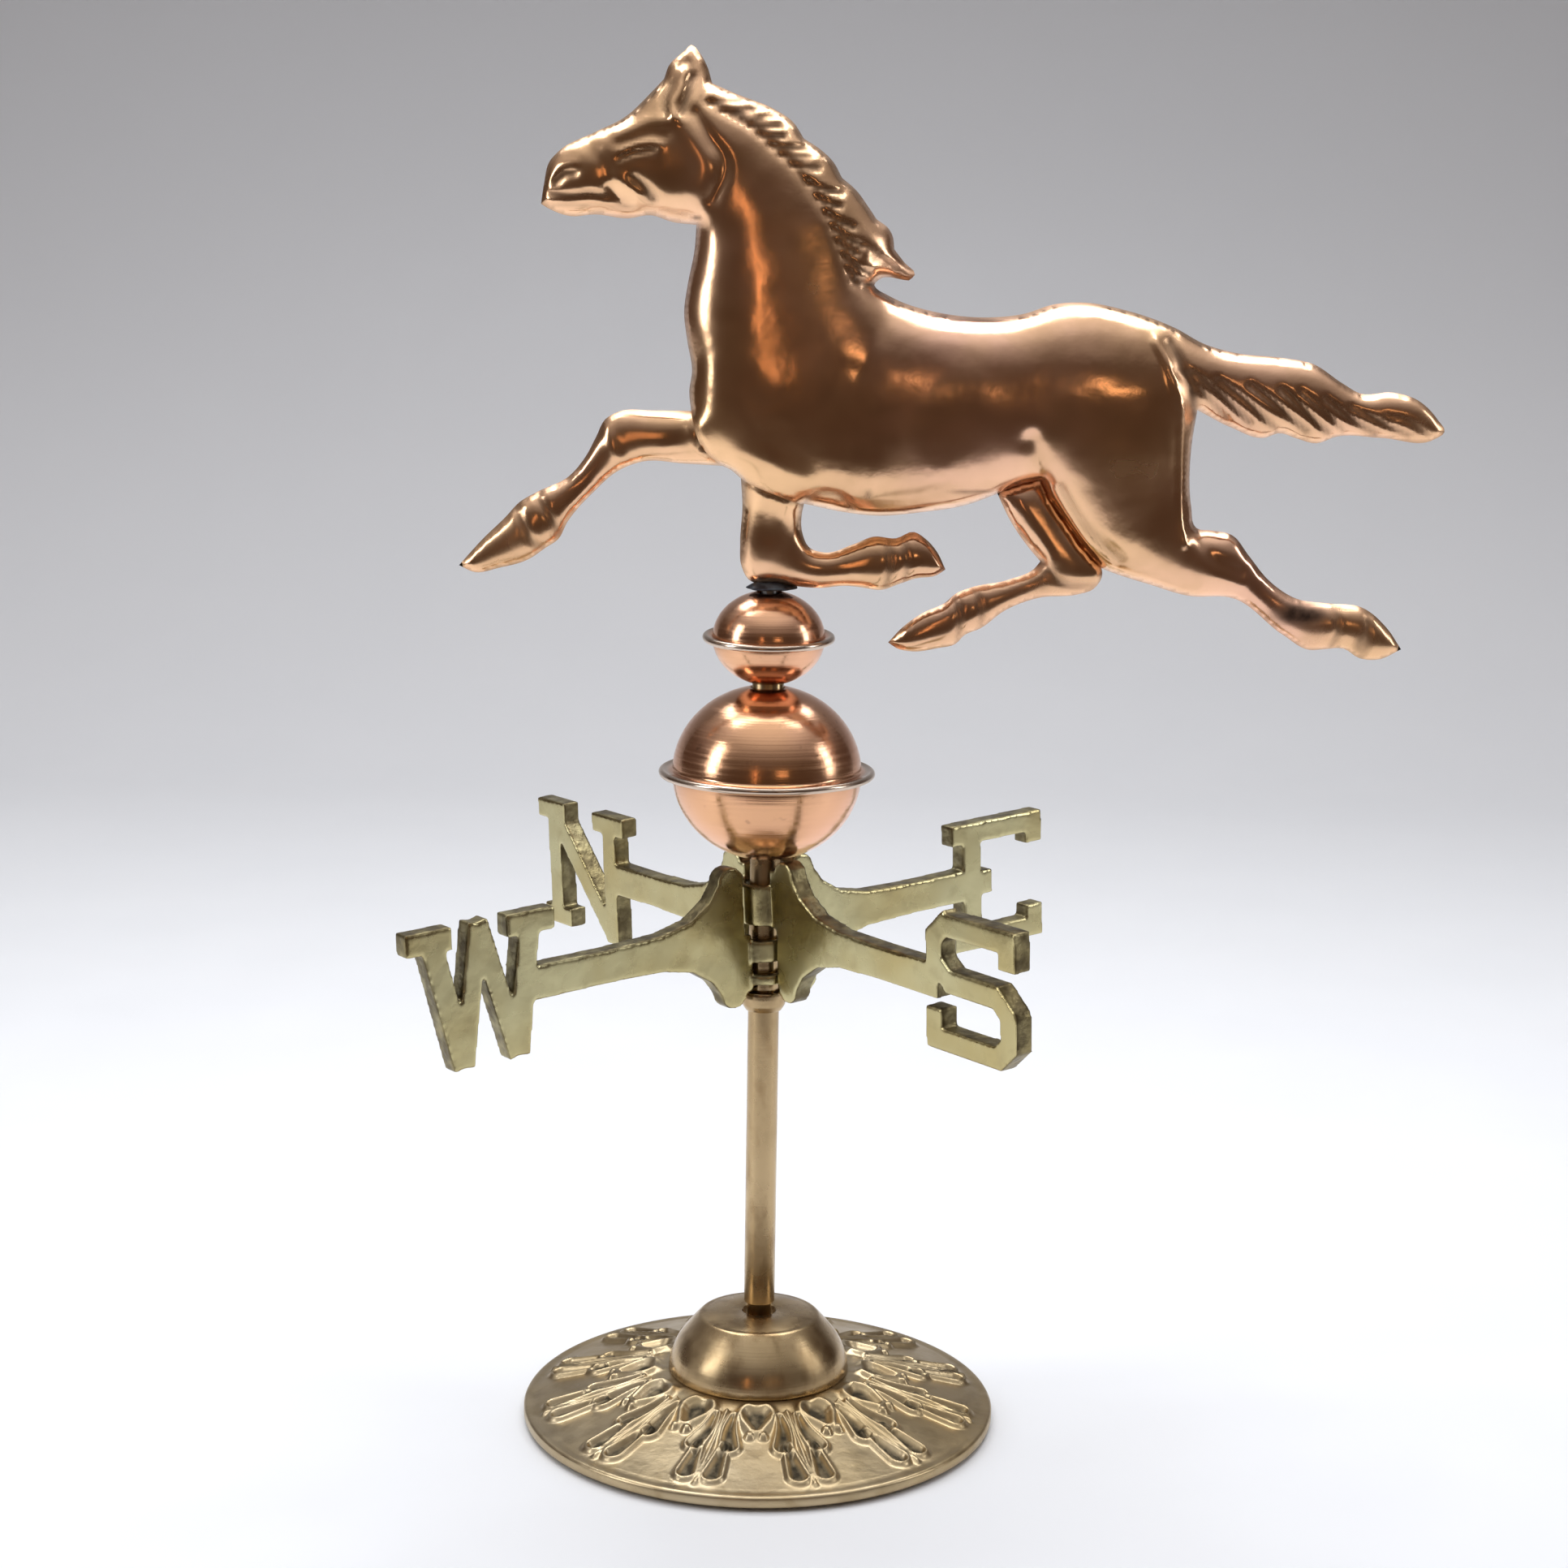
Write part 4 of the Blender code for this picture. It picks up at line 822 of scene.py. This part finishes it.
def build_dish(brass):
    bottom = 1.5
    top = [(r, 6.4 + 13.0 * ((94.0 - r) / (94.0 - 43.0)) ** 1.08)
           for r in np.linspace(92.0, 43.0, 74)]
    profile = ([(96.9, bottom), (97.6, bottom + 0.3), (97.9, bottom + 1.0), (97.9, 5.2),
                (97.5, 5.9), (96.6, 6.3), (95.0, 6.3), (93.4, 6.3)]
               + top + [(40.0, 19.9), (37.0, 20.0), (5.3, 20.0), (5.3, 16.5), (37.5, 16.5),
                        (82.9, 5.3), (90.9, 2.7), (90.9, bottom)])

    def lift(radius, turn):
        shape = np.tile(np.array(profile)[:, 1], len(radius) // len(profile))
        upper = (radius > 38) & (radius < 93.2) & (shape > 5.9)
        return np.where(upper, leaf_relief(radius, turn)[0], 0.0)

    points, faces = revolved(profile, DISH_STEPS, lift)
    radius = np.hypot(points[:, 0], points[:, 1]) / MM
    turn = np.arctan2(points[:, 1], points[:, 0])
    hollow = leaf_relief(radius, turn)[1] * (points[:, 2] / MM > 5.9)
    add_piece("base_dish_relief", points, faces, brass, "stand",
              ["base_dish"], hollow)


def build_hub(brass):
    curve = [(37.4, 20.3), (37.5, 21.3), (37.2, 23.5), (36.5, 26.5), (35.4, 29.5),
             (33.8, 32.5), (31.6, 35.6), (29.0, 38.8), (26.6, 41.6), (25.2, 43.0),
             (24.6, 43.5), (23.6, 43.8), (22.6, 43.75), (22.0, 44.0), (14.7, 44.85),
             (7.6, 45.3), (6.9, 44.9), (6.9, 41.3), (5.3, 41.3), (5.3, 20.3)]
    points, faces = revolved(curve, 128)
    radius = np.hypot(points[:, 0], points[:, 1]) / MM
    foot = np.exp(-((points[:, 2] / MM - 20.3) / 1.2) ** 2) * (radius > 30)
    ring = np.exp(-((radius - 22.8) / 0.6) ** 2) * (points[:, 2] > 0.04)
    add_piece("base_hub_turned", points, faces, brass, "stand", ["base_hub"],
              np.maximum(foot, 0.8 * ring))


def build_pole(brass):
    profile = [(0.0, 5.5), (4.6, 5.5), (5.0, 6.0), (5.0, 48.2), (6.1, 49.2), (6.35, 49.7),
               (6.35, 317.4), (6.1, 318.0), (5.2, 318.0), (5.2, 306.0), (3.6, 306.0),
               (3.6, 200.0), (0.0, 200.0)]
    points, faces = revolved(profile, 64)
    low = np.exp(-((points[:, 2] / MM - 48.0) / 3.0) ** 2)
    add_piece("pole_rod", points, faces, brass, "stand", ["pole"], low)


def build_collar(brass):
    profile = [(6.65, 175.0), (7.3, 175.0), (8.1, 176.2), (8.8, 177.4), (9.15, 178.8),
               (9.3, 180.6), (9.3, 182.0), (9.2, 183.2), (8.9, 183.4), (8.2, 183.4),
               (8.0, 183.0), (8.0, 181.4), (6.65, 181.2)]
    points, faces = revolved(rounded(profile, 0.2, 2), 96)
    add_piece("stop_collar_cup", points, faces, brass, "stand",
              ["stop_collar"], np.zeros(len(points)))


def build_solder(solder):
    """A lumpy blob of solder between the small globe and the knee."""
    profile = [(3.5, 347.6), (8.6, 347.6), (9.4, 348.0), (9.0, 348.6), (7.4, 349.6),
               (5.4, 350.6), (3.5, 351.2)]
    points, faces = revolved(rounded(profile, 0.5, 3), 72)
    points = points / MM
    turn = np.arctan2(points[:, 1], points[:, 0])
    swell = 1.0 + 0.06 * np.sin(3 * turn + 0.6) + 0.05 * np.sin(5 * turn)
    points[:, 0] *= np.where(points[:, 0] > 0, 1.12, 1.0) * swell
    points[:, 1] *= 0.78 * swell
    points[:, 2] += 0.25 * np.sin(4 * turn) * (points[:, 2] > 348.2)
    add_piece("knee_solder_blob", points * MM, faces, solder, "vane",
              ["knee_solder"])


# Carried-over CAD nodes

def paint_node(node, material):
    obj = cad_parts[node]
    obj.data.materials.clear()
    obj.data.materials.append(material)
    for face in obj.data.polygons:
        face.material_index = 0


def face_direction(node):
    """The direction that a flat casting's broad faces look along."""
    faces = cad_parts[node].data.polygons
    normals = np.array([face.normal for face in faces])
    areas = np.array([face.area for face in faces])
    spread = (normals * areas[:, None]).T @ normals
    return np.linalg.eigh(spread)[1][:, -1]


def round_casting(node):
    """Rounds a casting's edges all over, as the sand mould left them."""
    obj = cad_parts[node]
    weld = obj.modifiers.new("weld", "WELD")
    weld.merge_threshold = 1e-5
    skin = obj.modifiers.new("skin", "REMESH")
    skin.mode = "VOXEL"
    skin.voxel_size = CASTING_VOXEL
    skin.use_smooth_shade = True
    soften_edges = obj.modifiers.new("round_edges", "SMOOTH")
    soften_edges.factor = 0.5
    soften_edges.iterations = CASTING_SMOOTHING


# Stage

def add_area(name, place, target, size, power, colour=(1.0, 1.0, 1.0)):
    data = bpy.data.lights.new(name, "AREA")
    data.shape = "RECTANGLE"
    data.size, data.size_y = size
    data.energy = power
    data.color = colour
    obj = bpy.data.objects.new(name, data)
    obj.location = place
    obj.rotation_euler = (Vector(target) - Vector(place)).to_track_quat("-Z", "Y").to_euler()
    bpy.context.scene.collection.objects.link(obj)
    return obj


def build_room():
    """A room that is brown at eye level and opens into soft white light overhead."""
    world = bpy.data.worlds.new("dim_room")
    world.use_nodes = True
    tree = world.node_tree
    coordinates = tree.nodes.new("ShaderNodeTexCoord")
    split = tree.nodes.new("ShaderNodeSeparateXYZ")
    ramp = tree.nodes.new("ShaderNodeValToRGB")
    stops = [(0.0, (0.06, 0.04, 0.028)), (0.50, (0.075, 0.05, 0.036)),
             (0.68, (0.10, 0.075, 0.062)), (0.84, (0.36, 0.34, 0.34)), (0.93, (0.80, 0.80, 0.83))]
    for number, (place, colour) in enumerate(stops):
        if number == 0:
            stop = ramp.color_ramp.elements[0]
        else:
            stop = ramp.color_ramp.elements.new(place)
        stop.position = place
        stop.color = (*colour, 1.0)
    shift = tree.nodes.new("ShaderNodeMapRange")
    shift.inputs["From Min"].default_value = -1.0
    tree.links.new(coordinates.outputs["Generated"], split.inputs["Vector"])
    tree.links.new(split.outputs["Z"], shift.inputs["Value"])
    tree.links.new(shift.outputs["Result"], ramp.inputs["Fac"])
    background = tree.nodes["Background"]
    tree.links.new(ramp.outputs["Color"], background.inputs["Color"])
    background.inputs["Strength"].default_value = 1.0
    bpy.context.scene.world = world


def build_table():
    """A white table that curves up into a backdrop."""
    profile = [(TABLE_FRONT, 0.0), (TABLE_BACK, 0.0)]
    for step in range(1, 17):
        angle = math.radians(90 * step / 16)
        profile.append((TABLE_BACK + BACKDROP_BEND * math.sin(angle),
                        BACKDROP_BEND * (1 - math.cos(angle))))
    profile.append((TABLE_BACK + BACKDROP_BEND, BACKDROP_TOP))
    points = [(x, y, z) for y, z in profile for x in (-TABLE_HALF_WIDTH, TABLE_HALF_WIDTH)]
    faces = [(2 * i, 2 * i + 1, 2 * i + 3, 2 * i + 2) for i in range(len(profile) - 1)]
    mesh = bpy.data.meshes.new("table_sheet")
    mesh.from_pydata(points, [], faces)
    mesh.shade_smooth()
    mesh.materials.append(white_table())
    table = bpy.data.objects.new("table_sheet", mesh)
    bpy.context.scene.collection.objects.link(table)


def build_lights():
    """Cool soft boxes above and beside the vane, and two weak warm lamps before it."""
    cool = (0.93, 0.96, 1.0)
    add_area("overhead_softbox", (0.0, 0.35, 1.35), (0.0, 0.1, 0.2), (1.4, 0.9), 16.5, cool)
    add_area("left_softbox", (-1.25, -0.45, 0.75), (0.0, 0.0, 0.25), (0.30, 0.9), 5.5, cool)
    add_area("right_softbox", (1.35, -0.15, 0.7), (0.0, 0.0, 0.25), (0.25, 0.8), 3.0, cool)
    add_area("warm_lamp", (-0.55, -2.3, 0.62), (0.0, 0.0, 0.45), (0.07, 0.75), 0.55,
             (1.0, 0.52, 0.25))
    add_area("warm_window", (0.75, -2.2, 0.70), (0.0, 0.0, 0.45), (0.5, 0.16), 0.55,
             (1.0, 0.62, 0.34))


def build_camera():
    data = bpy.data.cameras.new("camera")
    data.lens = CAMERA_LENS
    data.sensor_width = CAMERA_SENSOR
    camera = bpy.data.objects.new("camera", data)
    camera.location = CAMERA_PLACE
    bpy.context.scene.collection.objects.link(camera)
    view = Vector((0, 0, 0)).to_track_quat("-Z", "Y").to_matrix()
    pitch = view.Rotation(CAMERA_PITCH, 3, "X")
    camera.rotation_euler = (pitch @ view.Rotation(CAMERA_ROLL, 3, "Z")).to_euler()
    bpy.context.scene.camera = camera
    bpy.context.scene.view_settings.view_transform = "Standard"


def main():
    build_table()
    build_room()
    build_lights()
    build_camera()
    copper = polished_copper()
    globe_copper = spun_copper()
    turned = turned_brass()
    steel = plain_steel()
    build_horse(copper)
    build_globe("large_globe", globe_copper, **LARGE_GLOBE)
    build_globe("small_globe", globe_copper, **SMALL_GLOBE)
    build_dish(base_brass())
    build_hub(turned)
    build_pole(turned)
    build_collar(turned)
    build_solder(grey_solder())
    for node in ("directional_we", "directional_ns"):
        paint_node(node, cast_brass(f"{node}_brass", face_direction(node)))
        round_casting(node)
    for node in ("base_washer", "base_nut", "collar_set_screw", "thrust_plug", "thrust_ball",
                 "spindle"):
        paint_node(node, steel)
    paint_node("pole_bush", turned)
    paint_node("felt_pad", dark_felt())


main()
